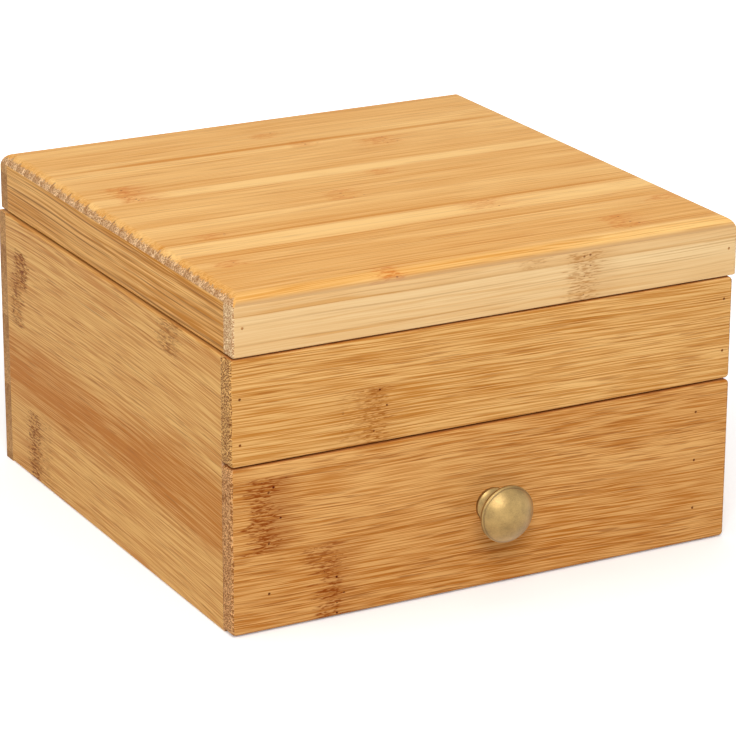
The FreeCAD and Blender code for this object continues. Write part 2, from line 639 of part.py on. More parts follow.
def bead(name, x, y, quarter, length):
    """One mitred bead. Its rabbet takes the edge of the mirror."""
    body = new_body(name, x, y, f"({PANEL_LOW} - bead_height)", FreeCAD.Rotation(V(0, 0, 1), 90 * quarter))
    sketch = new_sketch(body)
    draw(sketch, [("0", "0"), (length, "0"), (f"{length} - bead_width", "bead_width"),
                  ("bead_width", "bead_width")])
    pad(body, sketch, "bead_height")
    reach = worth("bead_width")
    round_edges(body, "bead_round", lambda box: box.ZMax < NEAR and box.YMin > reach - NEAR)
    rabbet = body.newObject("PartDesign::SubtractiveBox", name + "_rabbet")
    bind(rabbet, "Length", length)
    bind(rabbet, "Width", "bead_lap")
    bind(rabbet, "Height", "mirror")
    place(rabbet, "0", "bead_width - bead_lap", "bead_height - mirror")


def mirror_and_beads():
    slab("mirror", (f"({LID_INNER_LEFT} + {MIRROR_EDGE})", f"({LID_INNER_RIGHT} - {MIRROR_EDGE})"),
         (f"({INNER_FRONT} + {MIRROR_EDGE})", f"({INNER_BACK} - {MIRROR_EDGE})"),
         (f"({PANEL_LOW} - mirror)", PANEL_LOW))
    across, along = "(width - 2 * board)", "(depth - 2 * board)"
    bead("mirror_bead_front", LID_INNER_LEFT, INNER_FRONT, 0, across)
    bead("mirror_bead_right", LID_INNER_RIGHT, INNER_FRONT, 1, along)
    bead("mirror_bead_back", LID_INNER_RIGHT, INNER_BACK, 2, across)
    bead("mirror_bead_left", LID_INNER_LEFT, INNER_BACK, 3, along)


# The hinges

def screw_places(x):
    return [f"({x} - screw_spread / 2)", f"({x} + screw_spread / 2)"]


def knuckles(x):
    """The stretches of the barrel: two on the case leaf, with the lid leaf's one between them."""
    third, gap = "hinge_length / 6", "knuckle_gap / 2"
    middle = (f"({x} - {third} + {gap})", f"({x} + {third} - {gap})")
    outer = [(f"({x} - hinge_length / 2)", f"({x} - {third} - {gap})"),
             (f"({x} + {third} + {gap})", f"({x} + hinge_length / 2)")]
    return middle, outer


def leaf(name, x, z, own, others):
    """A leaf with its knuckles. It is cut back where it would meet the other leaf's knuckles."""
    body = slab(name, (f"({x} - hinge_length / 2)", f"({x} + hinge_length / 2)"),
                (f"({BACK} - leaf_reach)", PIN_Y), z)
    near = f"({PIN_Y} - barrel - barrel_gap)"
    for start, end in others:
        cut_box(body, (f"({start} - knuckle_gap)", f"({end} + knuckle_gap)"),
                (near, f"({PIN_Y} + barrel)"), (f"({z[0]} - leaf)", f"({z[1]} + leaf)"))
    for start, end in own:
        add(body, "AdditiveCylinder", start, PIN_Y, PIN_Z, AXIS_TURN["x"], Radius="barrel",
            Height=f"{end} - {start}")
    return body


def bore_and_sink(body, x, head_low, foot_radius, top_radius):
    """Bores the knuckles for the pin and countersinks the leaf for its two screws."""
    cut_hole(body, "x", f"({x} - hinge_length / 2)", PIN_Y, PIN_Z, "pin + pin_play", "hinge_length")
    for screw_x in screw_places(x):
        add(body, "SubtractiveCone", screw_x, SCREW_Y, head_low, Radius1=foot_radius, Radius2=top_radius,
            Height="leaf")


def stop_tail(body, start, end):
    """The tail lies along the barrel's underside and meets the back of the case when the lid is open."""
    tail = add(body, "AdditiveBox", start, f"({PIN_Y} + barrel * sin(tail_rise))",
               f"({PIN_Z} - barrel * cos(tail_rise))", FreeCAD.Rotation(V(1, 0, 0), worth("tail_rise")),
               Length=f"{end} - {start}", Width="tail", Height="leaf")
    bind(tail, "Placement.Rotation.Angle", "tail_rise")


def hinge(side, x):
    middle, outer = knuckles(x)
    wide, narrow = "screw_head + fastener_gap", "screw + fastener_gap"
    case_leaf = leaf(f"hinge_case_leaf_{side}", x, (CASE_LEAF_LOW, CASE_LEAF_TOP), outer, [middle])
    bore_and_sink(case_leaf, x, CASE_LEAF_LOW, narrow, wide)
    lid_leaf = leaf(f"hinge_lid_leaf_{side}", x, (LID_LEAF_LOW, LID_LEAF_TOP), [middle], outer)
    stop_tail(lid_leaf, *middle)
    bore_and_sink(lid_leaf, x, LID_LEAF_LOW, wide, narrow)
    pin = doc.addObject("Part::Cylinder", f"hinge_pin_{side}")
    pin.Label = f"hinge_pin_{side}"
    place(pin, f"({x} - hinge_length / 2)", PIN_Y, PIN_Z, AXIS_TURN["x"])
    bind(pin, "Radius", "pin")
    bind(pin, "Height", "hinge_length")


def hinge_screws(name, downwards):
    """Countersunk screws with a slot, four in a node, driven down into the case or up into the lid."""
    body = new_body(name, several=True)
    shank = "(screw_length - leaf - screw_point)"
    for x in [place_x for hinge_x in HINGES.values() for place_x in screw_places(hinge_x)]:
        if downwards:
            add(body, "AdditiveCone", x, SCREW_Y, f"({CASE_LEAF_TOP} - screw_length)",
                Radius1="screw_tip", Radius2="screw", Height="screw_point")
            add(body, "AdditiveCylinder", x, SCREW_Y, f"({CASE_LEAF_LOW} - {shank})", Radius="screw",
                Height=shank)
            add(body, "AdditiveCone", x, SCREW_Y, CASE_LEAF_LOW, Radius1="screw", Radius2="screw_head",
                Height="leaf")
            slot = (f"({CASE_LEAF_TOP} - slot_depth)", CASE_LEAF_TOP)
        else:
            add(body, "AdditiveCone", x, SCREW_Y, LID_LEAF_LOW, Radius1="screw_head", Radius2="screw",
                Height="leaf")
            add(body, "AdditiveCylinder", x, SCREW_Y, LID_LEAF_TOP, Radius="screw", Height=shank)
            add(body, "AdditiveCone", x, SCREW_Y, f"({LID_LEAF_TOP} + {shank})", Radius1="screw",
                Radius2="screw_tip", Height="screw_point")
            slot = (LID_LEAF_LOW, f"({LID_LEAF_LOW} + slot_depth)")
        cut_box(body, (f"({x} - screw_head)", f"({x} + screw_head)"),
                (f"({SCREW_Y} - slot_width / 2)", f"({SCREW_Y} + slot_width / 2)"), slot)


# The whole box

side_panels()
upper_front_board()
back_panel()
case_floors()
drawer_guides()
tray()
ring_rolls()
drawer_front()
drawer_box()
knob()
knob_screw()
lid_boards()
mirror_and_beads()
for hinge_side, hinge_x in HINGES.items():
    hinge(hinge_side, hinge_x)
hinge_screws("hinge_case_screws", downwards=True)
hinge_screws("hinge_lid_screws", downwards=False)
nails("upper_front_brads", UPPER_NAILS, f"({FRONT} + nail_sink)", forward=False)
nails("back_panel_brads", BACK_NAILS, f"({BACK} - nail_sink)", forward=True)
nails("lid_front_brads", LID_NAILS, f"({FRONT} + nail_sink)", forward=False)
nails("lid_back_brads", LID_NAILS, f"({BACK} - nail_sink)", forward=True)
nails("drawer_front_brads", DRAWER_NAILS, f"({DRAWER_FACE} + nail_sink)", forward=False)
nails("drawer_back_brads", DRAWER_NAILS, f"({DRAWER_END} - nail_sink)", forward=True)
doc.recompute()


def finished_parts():
    """The pieces of the box: everything with a shape, apart from the stages that a piece is made from."""
    stages = ("_rough", "_outside")
    kinds = ("PartDesign::Body", "Part::Common", "Part::Cylinder")
    return [thing for thing in doc.Objects if thing.TypeId in kinds and not thing.Name.endswith(stages)]


for thing in doc.Objects:
    if "Invalid" in thing.State or "Error" in thing.State:
        raise RuntimeError(f"{thing.Label} can't be built: {thing.State}")
for piece in finished_parts():
    if piece.Shape.isNull() or not piece.Shape.isValid() or not piece.Shape.Solids:
        raise RuntimeError(f"{piece.Label} has no sound shape")

os.makedirs("parts", exist_ok=True)
for piece in finished_parts():
    piece.Shape.exportStep(f"parts/{piece.Label}.step")
    print(piece.Label, len(piece.Shape.Solids), round(piece.Shape.Volume, 2))
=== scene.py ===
"""Bamboo jewelry box: camera, studio, finishes and soft linings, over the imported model."""
import math

import bpy
from mathutils import Matrix, Vector
from mathutils.noise import noise as noise_of


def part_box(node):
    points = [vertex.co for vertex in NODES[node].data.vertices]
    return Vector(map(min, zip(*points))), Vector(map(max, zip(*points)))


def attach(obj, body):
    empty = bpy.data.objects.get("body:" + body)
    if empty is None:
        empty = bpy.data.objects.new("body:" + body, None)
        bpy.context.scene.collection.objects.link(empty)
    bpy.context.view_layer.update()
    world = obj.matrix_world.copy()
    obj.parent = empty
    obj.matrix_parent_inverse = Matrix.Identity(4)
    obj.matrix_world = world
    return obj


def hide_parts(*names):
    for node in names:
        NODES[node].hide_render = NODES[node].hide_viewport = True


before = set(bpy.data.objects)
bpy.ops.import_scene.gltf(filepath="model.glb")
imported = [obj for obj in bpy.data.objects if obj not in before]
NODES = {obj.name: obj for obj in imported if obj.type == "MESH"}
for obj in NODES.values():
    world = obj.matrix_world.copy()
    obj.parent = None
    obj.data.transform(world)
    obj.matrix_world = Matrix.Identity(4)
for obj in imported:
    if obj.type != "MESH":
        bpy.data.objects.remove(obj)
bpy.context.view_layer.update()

MM = 0.001
MM_IN_METRE = 1000.0


# Camera

CAMERA_PLACE = Vector((-568.104, -1065.694, 472.470)) * MM
CAMERA_AZIMUTH = math.radians(28.307)
CAMERA_DROP = math.radians(19.251)
CAMERA_ROLL = math.radians(0.216)
CAMERA_LENS = 167.7023
SENSOR_WIDTH = 36.0
CLIP_START = 0.05
CLIP_END = 20.0


def set_camera():
    """The photograph's own view, from the left front and a little above."""
    data = bpy.data.cameras.new("camera")
    data.lens = CAMERA_LENS
    data.sensor_width = SENSOR_WIDTH
    data.clip_start = CLIP_START
    data.clip_end = CLIP_END
    camera = bpy.data.objects.new("camera", data)
    bpy.context.scene.collection.objects.link(camera)
    turn = Matrix.Rotation(-CAMERA_AZIMUTH, 4, "Z")
    tip = Matrix.Rotation(math.radians(90.0) - CAMERA_DROP, 4, "X")
    roll = Matrix.Rotation(CAMERA_ROLL, 4, "Z")
    camera.matrix_world = Matrix.Translation(CAMERA_PLACE) @ turn @ tip @ roll
    bpy.context.scene.camera = camera


# Node helpers

MIDDLE = 0.5


def add(tree, kind, **settings):
    """Adds a node and sets its own settings."""
    made = tree.nodes.new(kind)
    for key, value in settings.items():
        setattr(made, key, value)
    return made


def feed(tree, socket, value):
    """Joins another node's socket to this one, or sets its value."""
    if isinstance(value, bpy.types.NodeSocket):
        tree.links.new(value, socket)
    else:
        socket.default_value = value


def maths(tree, operation, *values, clamp=False):
    made = add(tree, "ShaderNodeMath", operation=operation, use_clamp=clamp)
    for socket, value in zip(made.inputs, values):
        feed(tree, socket, value)
    return made.outputs[0]


def product(tree, first, *others):
    for other in others:
        first = maths(tree, "MULTIPLY", first, other)
    return first


def times_plus(tree, value, amount, start):
    """The value times the amount, added to the start."""
    return maths(tree, "MULTIPLY_ADD", value, amount, start)


def off_middle(tree, value, amount, start):
    """Adds a pattern to the start, so that its middle value changes nothing."""
    return times_plus(tree, maths(tree, "SUBTRACT", value, MIDDLE), amount, start)


def larger(tree, first, second):
    return maths(tree, "MAXIMUM", first, second)


def limited(tree, value):
    """The value, kept between 0 and 1."""
    return maths(tree, "ADD", value, 0.0, clamp=True)


def distance(tree, value, place):
    return maths(tree, "ABSOLUTE", maths(tree, "SUBTRACT", value, place))


def ease(tree, value, start, end, low=0.0, high=1.0):
    """Goes smoothly from low to high as the value goes from start to end."""
    made = add(tree, "ShaderNodeMapRange", interpolation_type="SMOOTHSTEP")
    for socket, number in zip(made.inputs, (value, start, end, low, high)):
        feed(tree, socket, number)
    return made.outputs[0]


def fade(tree, value, start, end):
    """Goes smoothly from 1 to 0 as the value goes from start to end."""
    return ease(tree, value, start, end, 1.0, 0.0)


def stretch(tree, vector, amounts):
    made = add(tree, "ShaderNodeVectorMath", operation="MULTIPLY")
    feed(tree, made.inputs[0], vector)
    feed(tree, made.inputs[1], amounts)
    return made.outputs[0]


def length_of(tree, vector):
    made = add(tree, "ShaderNodeVectorMath", operation="LENGTH")
    feed(tree, made.inputs[0], vector)
    return made.outputs["Value"]


def split(tree, vector):
    made = add(tree, "ShaderNodeSeparateXYZ")
    feed(tree, made.inputs[0], vector)
    return made.outputs[0], made.outputs[1], made.outputs[2]


def split_colour(tree, value):
    made = add(tree, "ShaderNodeSeparateColor")
    feed(tree, made.inputs[0], value)
    return made.outputs[0], made.outputs[1], made.outputs[2]


def merge(tree, x, y, z):
    made = add(tree, "ShaderNodeCombineXYZ")
    for socket, value in zip(made.inputs, (x, y, z)):
        feed(tree, socket, value)
    return made.outputs[0]


def noise(tree, vector, scale=1.0, detail=2.0, roughness=0.5, twist=0.0):
    made = add(tree, "ShaderNodeTexNoise")
    feed(tree, made.inputs["Vector"], vector)
    made.inputs["Scale"].default_value = scale
    made.inputs["Detail"].default_value = detail
    made.inputs["Roughness"].default_value = roughness
    made.inputs["Distortion"].default_value = twist
    return made.outputs["Fac"]


def cells(tree, vector):
    """How far the nearest cell's middle is, and a colour by chance for each cell."""
    made = add(tree, "ShaderNodeTexVoronoi", feature="F1")
    feed(tree, made.inputs["Vector"], vector)
    made.inputs["Scale"].default_value = 1.0
    return made.outputs["Distance"], made.outputs["Color"]


def mix(tree, factor, first, second, blend_type="MIX"):
    made = add(tree, "ShaderNodeMix", data_type="RGBA", blend_type=blend_type)
    feed(tree, made.inputs[0], factor)
    feed(tree, made.inputs[6], first)
    feed(tree, made.inputs[7], second)
    return made.outputs[2]


def colour(code):
    """A colour written as on a paint chart, turned to the linear values of a socket."""
    parts = [int(code[start:start + 2], 16) / 255 for start in (0, 2, 4)]
    return [part / 12.92 if part <= 0.04045 else ((part + 0.055) / 1.055) ** 2.4 for part in parts] + [1.0]


def new_group(name, inputs, outputs):
    """A shader node group; returns its tree, its inputs by name and its output node's inputs."""
    tree = bpy.data.node_groups.new(name, "ShaderNodeTree")
    kinds = {"value": "NodeSocketFloat", "colour": "NodeSocketColor", "vector": "NodeSocketVector"}
    for label, kind in inputs:
        tree.interface.new_socket(label, in_out="INPUT", socket_type=kinds[kind])
    for label, kind in outputs:
        tree.interface.new_socket(label, in_out="OUTPUT", socket_type=kinds[kind])
    source = add(tree, "NodeGroupInput")
    return tree, source.outputs, add(tree, "NodeGroupOutput").inputs


def use_group(tree, group, **values):
    made = add(tree, "ShaderNodeGroup", node_tree=group)
    for label, value in values.items():
        feed(tree, made.inputs[label.replace("_", " ")], value)
    return made.outputs


def new_material(name):
    material = bpy.data.materials.new(name)
    material.use_nodes = True
    tree = material.node_tree
    return material, tree, tree.nodes["Principled BSDF"]


def set_plainly(shader, values):
    """Sets the shader's sockets that are one number or one colour all over."""
    for label, value in values.items():
        shader.inputs[label].default_value = value


def emboss(tree, shader, height, strength, depth):
    """Gives the surface a relief of this depth, in metres."""
    bump = add(tree, "ShaderNodeBump")
    bump.inputs["Strength"].default_value = strength
    bump.inputs["Distance"].default_value = depth
    feed(tree, bump.inputs["Height"], height)
    feed(tree, shader.inputs["Normal"], bump.outputs[0])


def paint(material, *names):
    """Gives these pieces this one material."""
    for name in names:
        slots = NODES[name].data.materials
        slots.clear()
        slots.append(material)


# Patterns in the bamboo, with features per millimetre along the grain, across it and through the board

PATTERNS = {
    "drift": {"rates": (0.008, 0.02, 0.02), "detail": 1.0},
    "fine fibres": {"rates": (0.025, 2.2, 2.2), "detail": 1.5, "roughness": 0.6},
    "middle fibres": {"rates": (0.012, 0.45, 0.45), "roughness": 0.6},
    "broad clouds": {"rates": (0.009, 0.06, 0.06), "detail": 1.0},
    "dashes": {"rates": (0.045, 2.0, 2.0), "detail": 1.0, "roughness": 0.4},
    "dash patches": {"rates": (0.014, 0.09, 0.09), "detail": 1.0},
    "long lines": {"rates": (0.0035, 1.5, 1.5), "detail": 0.0},
    "knuckle mottle": {"rates": (0.3, 1.7, 1.7), "roughness": 0.6, "twist": 0.5},
    "end crumbs": {"rates": (0.06, 1.7, 1.7)},
    "ragged knuckle": {"rates": (0.1, 1.2, 1.2)},
    "ragged mark": {"rates": (0.02, 0.4, 0.4)},
}
VESSEL_CELLS = (0.024, 1.5, 1.5)
PIT_CELLS = (0.42, 0.5, 0.5)

# Where a pattern begins to show, and where it shows in full
SHOWS = {
    "crisp fibres": (0.34, 0.66),
    "dashes": (0.57, 0.67),
    "dash patches": (0.34, 0.56),
    "long lines": (0.58, 0.7),
    "line patches": (0.35, 0.55),
    "glue line": (0.45, 0.05),
    "glue patches": (0.4, 0.55),
    "loose knuckle": (11.0, 5.5),
    "knuckle flecks": (0.42, 0.62),
    "pits": (0.26, 0.14),
    "pit chance": (0.6, 0.64),
    "edge shade facing": (0.72, 0.97),
    "strip joint": (0.8, 0.97),
    "end wood": (0.0, 0.12),
    "vessel dots": (0.38, 0.2),
    "crumb dots": (0.49, 0.55),
    "strip side": (-0.4, 0.5),
    "behind knuckle": (0.5, 1.0),
}


def pattern(tree, name, place):
    settings = dict(PATTERNS[name])
    rates = settings.pop("rates")
    return noise(tree, stretch(tree, place, rates), **settings)


def shows(tree, name, value):
    """Goes from 0 where a pattern begins to show to 1 where it shows in full."""
    return ease(tree, value, *SHOWS[name])


# Marks at their own places on a board

KNUCKLE_RAGS = (20.0, 1.5)
KNUCKLE_BAND_FADES = (0.6, 1.3)
KNUCKLE_PITS_AT = 0.55
KNUCKLE_PITS_FADE = (0.3, 0.75)
KNUCKLE_TAIL_FADES = (1.2, 3.2)
MARK_RAGS = (60.0, 3.0)
MARK_FADES = (0.4, 1.1)


def raggedly(tree, board, name, most):
    """The places along and across a board, moved a little by noise so that marks get ragged edges."""
    along, across, _ = split(tree, board)
    moved = maths(tree, "SUBTRACT", pattern(tree, name, board), MIDDLE)
    most_along, most_across = most
    return times_plus(tree, moved, most_along, along), times_plus(tree, moved, most_across, across)


def make_knuckle_place():
    """Where a knuckle of the cane crosses a strip: its mottled band, its pits and the darker wood behind it.

    A negative reach puts the darker wood before the knuckle."""
    tree, given, out = new_group(
        "knuckle_place",
        [("board", "vector"), ("along", "value"), ("low", "value"), ("high", "value"), ("reach", "value"),
         ("strength", "value"), ("tail", "value")],
        [("marks", "vector")])
    along, across = raggedly(tree, given["board"], "ragged knuckle", KNUCKLE_RAGS)
    share = maths(tree, "DIVIDE", maths(tree, "SUBTRACT", along, given["along"]), given["reach"])
    band = fade(tree, maths(tree, "ABSOLUTE", share), *KNUCKLE_BAND_FADES)
    pits = fade(tree, distance(tree, share, KNUCKLE_PITS_AT), *KNUCKLE_PITS_FADE)
    behind = product(tree, shows(tree, "behind knuckle", share), fade(tree, share, *KNUCKLE_TAIL_FADES),
                     given["tail"])
    above = shows(tree, "strip side", maths(tree, "SUBTRACT", across, given["low"]))
    below = shows(tree, "strip side", maths(tree, "SUBTRACT", given["high"], across))
    inside = product(tree, above, below, given["strength"])
    marks = stretch(tree, merge(tree, band, pits, behind), merge(tree, inside, inside, inside))
    feed(tree, out["marks"], marks)
    return tree


def make_soft_mark():
    """A soft lighter or darker patch or line at one place on a board."""
    tree, given, out = new_group(
        "soft_mark",
        [("board", "vector"), ("along", "value"), ("across", "value"), ("length", "value"),
         ("width", "value"), ("amount", "value")],
        [("amount", "value")])
    along, across = raggedly(tree, given["board"], "ragged mark", MARK_RAGS)
    length = maths(tree, "DIVIDE", distance(tree, along, given["along"]), given["length"])
    width = maths(tree, "DIVIDE", distance(tree, across, given["across"]), given["width"])
    ends = fade(tree, length, *MARK_FADES)
    sides = fade(tree, width, *MARK_FADES)
    feed(tree, out["amount"], product(tree, ends, sides, given["amount"]))
    return tree


# Bamboo grain

# What every board has, unless its own function says otherwise; lengths are in millimetres. The edge colour
# and its amount are painted shade on the long edge faces in the gaps between boards
COMMON_BOARD = {
    "light": "F2BE78", "dark": "C27F3C", "fibre": "8E5222", "knot": "A2622C", "end_light": "D2A26A",
    "end_dark": "8A5A2E", "strip_width": 28.0, "strip_start": 0.0, "strip_contrast": 0.3, "glue_line": 0.35,
    "slope": 0.0, "bow": 0.0, "shortness": 1.0, "lines": 0.8, "clouds": 0.5, "streaks": 0.4,
    "long_lines": 0.0, "edge_wood": "A86E34", "edge_amount": 0.0, "end_start": 0.34, "end_dots": 0.6,
    "end_bands": 0.5, "loose_knuckles": 0.0,
}
MOST_DRIFT = 5.0
STRIP_SHIFTS = (310.0, 57.0, 31.0)
CANE_LENGTH = 170.0
LOOSE_RAG = 7.0
LOOSE_PITS = 0.7
BAND_TINT = 0.15
FLECK_TINT = 0.75
TAIL_FIBRES = (0.2, 0.75, 1.0, 0.3)
PIT_BROWN = "A06A48"
END_RAG_MIDDLE = 0.35
END_RAG_FINE = 0.5
END_RAG_JOINT = 0.3
END_WASH = 0.35
END_WASH_CLOUDS = 1.2
BOARD_ROUGHNESS = 0.4
ROUGHER = {"fine": 0.16, "end": 0.14, "band": 0.08}
FIBRE_RELIEF = 0.7
RELIEF = {"dash": -0.5, "pit": -0.8, "band": 0.6, "dots": -0.6}


def find_strip(tree, given, across):
    """How far across its strip a place lies, from 0 to 1, and three values by chance for the strip."""
    place = maths(tree, "DIVIDE", maths(tree, "SUBTRACT", across, given["strip start"]), given["strip width"])
    strip = maths(tree, "FLOOR", place)
    chance = add(tree, "ShaderNodeTexWhiteNoise", noise_dimensions="2D")
    feed(tree, chance.inputs["Vector"], merge(tree, strip, given["seed"], 0.0))
    return maths(tree, "FRACT", place), split_colour(tree, chance.outputs["Color"])


def follow_fibres(tree, given, along, across, depth, chances):
    """The place as the fibres have it: they wander, slope and bow a little, and each strip has its own."""
    drift = pattern(tree, "drift", given["board"])
    sloped = times_plus(tree, along, given["slope"], across)
    bowed = times_plus(tree, product(tree, along, along), given["bow"], sloped)
    starts = (product(tree, along, given["shortness"]), times_plus(tree, drift, MOST_DRIFT, bowed),
              maths(tree, "ADD", depth, given["seed"]))
    return merge(tree, *(times_plus(tree, chance, shift, start)
                         for chance, shift, start in zip(chances, STRIP_SHIFTS, starts)))


def draw_dashes(tree, given, fibres, middle):
    """Bundles of vessels as short dark dashes, and on some boards single fibres that run from end to end."""
    thin = pattern(tree, "dashes", fibres)
    patches = pattern(tree, "dash patches", fibres)
    dash = product(tree, shows(tree, "dashes", thin), shows(tree, "dash patches", patches), given["streaks"])
    line = pattern(tree, "long lines", fibres)
    line = product(tree, shows(tree, "long lines", line), shows(tree, "line patches", middle),
                   given["long lines"])
    return larger(tree, dash, line)


def shade_strips(tree, given, own, fine, middle, broad):
    """How light the wood is, from 0 to 1, by its strip, its clouds and its fibres."""
    tone = off_middle(tree, own, given["strip contrast"], given["shade"])
    tone = off_middle(tree, broad, given["clouds"], tone)
    tone = off_middle(tree, middle, given["clouds"], tone)
    crisp = shows(tree, "crisp fibres", fine)
    return limited(tree, off_middle(tree, crisp, given["lines"], tone))


def draw_glue_lines(tree, given, share, broad):
    """Thin lines between the strips, some of them hardly to be seen."""
    nearer = maths(tree, "MINIMUM", share, maths(tree, "SUBTRACT", 1.0, share))
    gap = product(tree, nearer, given["strip width"])
    line = product(tree, shows(tree, "glue line", gap), given["glue line"])
    return product(tree, line, shows(tree, "glue patches", broad))


def gather_knuckles(tree, given, along, chance, middle):
    """The knuckles given one by one and, on boards out of sight, some by chance: bands, pits and tails."""
    shifted = times_plus(tree, chance, CANE_LENGTH, along)
    step = maths(tree, "FRACT", maths(tree, "DIVIDE", shifted, CANE_LENGTH))
    from_knuckle = product(tree, distance(tree, step, MIDDLE), CANE_LENGTH)
    ragged = times_plus(tree, middle, LOOSE_RAG, from_knuckle)
    loose = product(tree, shows(tree, "loose knuckle", ragged), given["loose knuckles"])
    band, pits, behind = split(tree, given["knuckle"])
    return larger(tree, band, loose), larger(tree, pits, product(tree, loose, LOOSE_PITS)), behind


def tint_knuckles(tree, given, wood, band, behind, fine, mottle):
    """Flecked dark bands, and darker wood that thins out behind them."""
    flecks = times_plus(tree, shows(tree, "knuckle flecks", mottle), FLECK_TINT, BAND_TINT)
    wood = mix(tree, product(tree, band, flecks), wood, given["knot"])
    return mix(tree, product(tree, behind, ease(tree, fine, *TAIL_FIBRES)), wood, given["knot"])


def find_pits(tree, given, amount):
    """Small pits, in some of the cells only."""
    near, own = cells(tree, stretch(tree, given["board"], PIT_CELLS))
    chance, _, _ = split_colour(tree, own)
    return product(tree, shows(tree, "pits", near), shows(tree, "pit chance", chance), amount)


def find_ends(tree, given, lengthwise, share, own, fine, middle):
    """Where the surface cuts across the fibres, with a ragged edge and teeth at the strips' joints."""
    cut = maths(tree, "ABSOLUTE", lengthwise)
    cut = off_middle(tree, middle, END_RAG_MIDDLE, cut)
    cut = off_middle(tree, fine, END_RAG_FINE, cut)
    cut = times_plus(tree, shows(tree, "strip joint", share), product(tree, own, END_RAG_JOINT), cut)
    return shows(tree, "end wood", maths(tree, "SUBTRACT", cut, given["end start"]))


def draw_end_grain(tree, given, fibres, share, middle):
    """The dark dots on a board's ends, and the colour of the ends with them."""
    near, _ = cells(tree, stretch(tree, fibres, VESSEL_CELLS))
    crumbs = pattern(tree, "end crumbs", fibres)
    dots = larger(tree, shows(tree, "vessel dots", near), shows(tree, "crumb dots", crumbs))
    wash = off_middle(tree, share, given["end bands"], END_WASH)
    wash = limited(tree, off_middle(tree, middle, END_WASH_CLOUDS, wash))
    wood = mix(tree, wash, given["end light"], given["end dark"])
    return dots, mix(tree, product(tree, dots, given["end dots"]), wood, given["end dark"])


def make_bamboo_grain():
    """Laminated bamboo strips: fibres, dark bundles, glue lines, knuckles and end grain.

    The board's vector is in millimetres: along the grain, across the strips, and through the board."""
    own_inputs = [(label.replace("_", " "), "colour" if isinstance(value, str) else "value")
                  for label, value in COMMON_BOARD.items()]
    tree, given, out = new_group(
        "bamboo_grain",
        [("board", "vector"), ("facing", "vector"), ("shade", "value"), ("knuckle", "vector"),
         ("seed", "value"), *own_inputs],
        [("colour", "colour"), ("roughness", "value"), ("height", "value")])
    along, across, depth = split(tree, given["board"])
    lengthwise, sideways, _ = split(tree, given["facing"])
    share, chances = find_strip(tree, given, across)
    own, _, third = chances
    fibres = follow_fibres(tree, given, along, across, depth, chances)
    fine = pattern(tree, "fine fibres", fibres)
    middle = pattern(tree, "middle fibres", fibres)
    broad = pattern(tree, "broad clouds", fibres)

    wood = mix(tree, shade_strips(tree, given, own, fine, middle, broad), given["dark"], given["light"])
    dash = draw_dashes(tree, given, fibres, middle)
    wood = mix(tree, dash, wood, given["fibre"])
    wood = mix(tree, draw_glue_lines(tree, given, share, broad), wood, given["fibre"])

    band, pits, behind = gather_knuckles(tree, given, along, third, middle)
    mottle = pattern(tree, "knuckle mottle", given["board"])
    wood = tint_knuckles(tree, given, wood, band, behind, fine, mottle)
    pit = find_pits(tree, given, pits)
    wood = mix(tree, pit, wood, mix(tree, 1.0, given["knot"], colour(PIT_BROWN), "MULTIPLY"))

    # Painted shade: the long edge faces of some boards are mixed towards a darker edge colour that stands for
    # the shade there. These faces lie down in the gaps between boards and over the lid top's rounded front
    # and back
    turned = shows(tree, "edge shade facing", maths(tree, "ABSOLUTE", sideways))
    wood = mix(tree, product(tree, turned, given["edge amount"]), wood, given["edge wood"])

    end = find_ends(tree, given, lengthwise, share, own, fine, middle)
    dots, end_wood = draw_end_grain(tree, given, fibres, share, middle)
    feed(tree, out["colour"], mix(tree, end, wood, end_wood))

    rough = BOARD_ROUGHNESS
    for value, extra in ((fine, ROUGHER["fine"]), (end, ROUGHER["end"]), (band, ROUGHER["band"])):
        rough = times_plus(tree, value, extra, rough)
    feed(tree, out["roughness"], rough)
    relief = product(tree, fine, FIBRE_RELIEF)
    for value, height in ((dash, RELIEF["dash"]), (pit, RELIEF["pit"]),
                          (product(tree, band, mottle), RELIEF["band"]),
                          (product(tree, dots, end), RELIEF["dots"])):
        relief = times_plus(tree, value, height, relief)
    feed(tree, out["height"], relief)
    return tree


KNUCKLE_PLACE = make_knuckle_place()
SOFT_MARK = make_soft_mark()
BAMBOO_GRAIN = make_bamboo_grain()


# Bamboo boards

QUARTER_TURN = math.radians(-90)

# How a board lies: grain left to right and flat, left to right and upright, front to back and upright,
# front to back and flat
LIES = {
    "flat": (0.0, 0.0, 0.0),
    "front": (QUARTER_TURN, 0.0, 0.0),
    "side": (QUARTER_TURN, QUARTER_TURN, 0.0),
    "flat side": (0.0, 0.0, QUARTER_TURN),
}
PLAIN_SHADE = 0.5
VARNISH_SPECULAR = 0.08
GRAIN_RELIEF = (0.5, 0.1 * MM)


def knuckle(along, strip, reach, strength, tail):
    """A knuckle at this place along the grain, across the strip from its low to its high side."""
    low, high = strip
    return {"along": along, "low": low, "high": high, "reach": reach, "strength": strength, "tail": tail}


def mark(along, across, length, width, amount):
    """A soft patch or line that makes the wood lighter, or darker where the amount is negative."""
    return {"along": along, "across": across, "length": length, "width": width, "amount": amount}


def place_on_board(tree, lies):
    """A board's own place in millimetres and the way that its surface faces, both turned to its grain."""
    source = add(tree, "ShaderNodeTexCoord")
    board = add(tree, "ShaderNodeMapping")
    feed(tree, board.inputs["Vector"], source.outputs["Object"])
    board.inputs["Scale"].default_value = (MM_IN_METRE,) * 3
    board.inputs["Rotation"].default_value = LIES[lies]
    facing = add(tree, "ShaderNodeMapping", vector_type="VECTOR")
    feed(tree, facing.inputs["Vector"], source.outputs["Normal"])
    facing.inputs["Rotation"].default_value = LIES[lies]
    return board.outputs[0], facing.outputs[0]


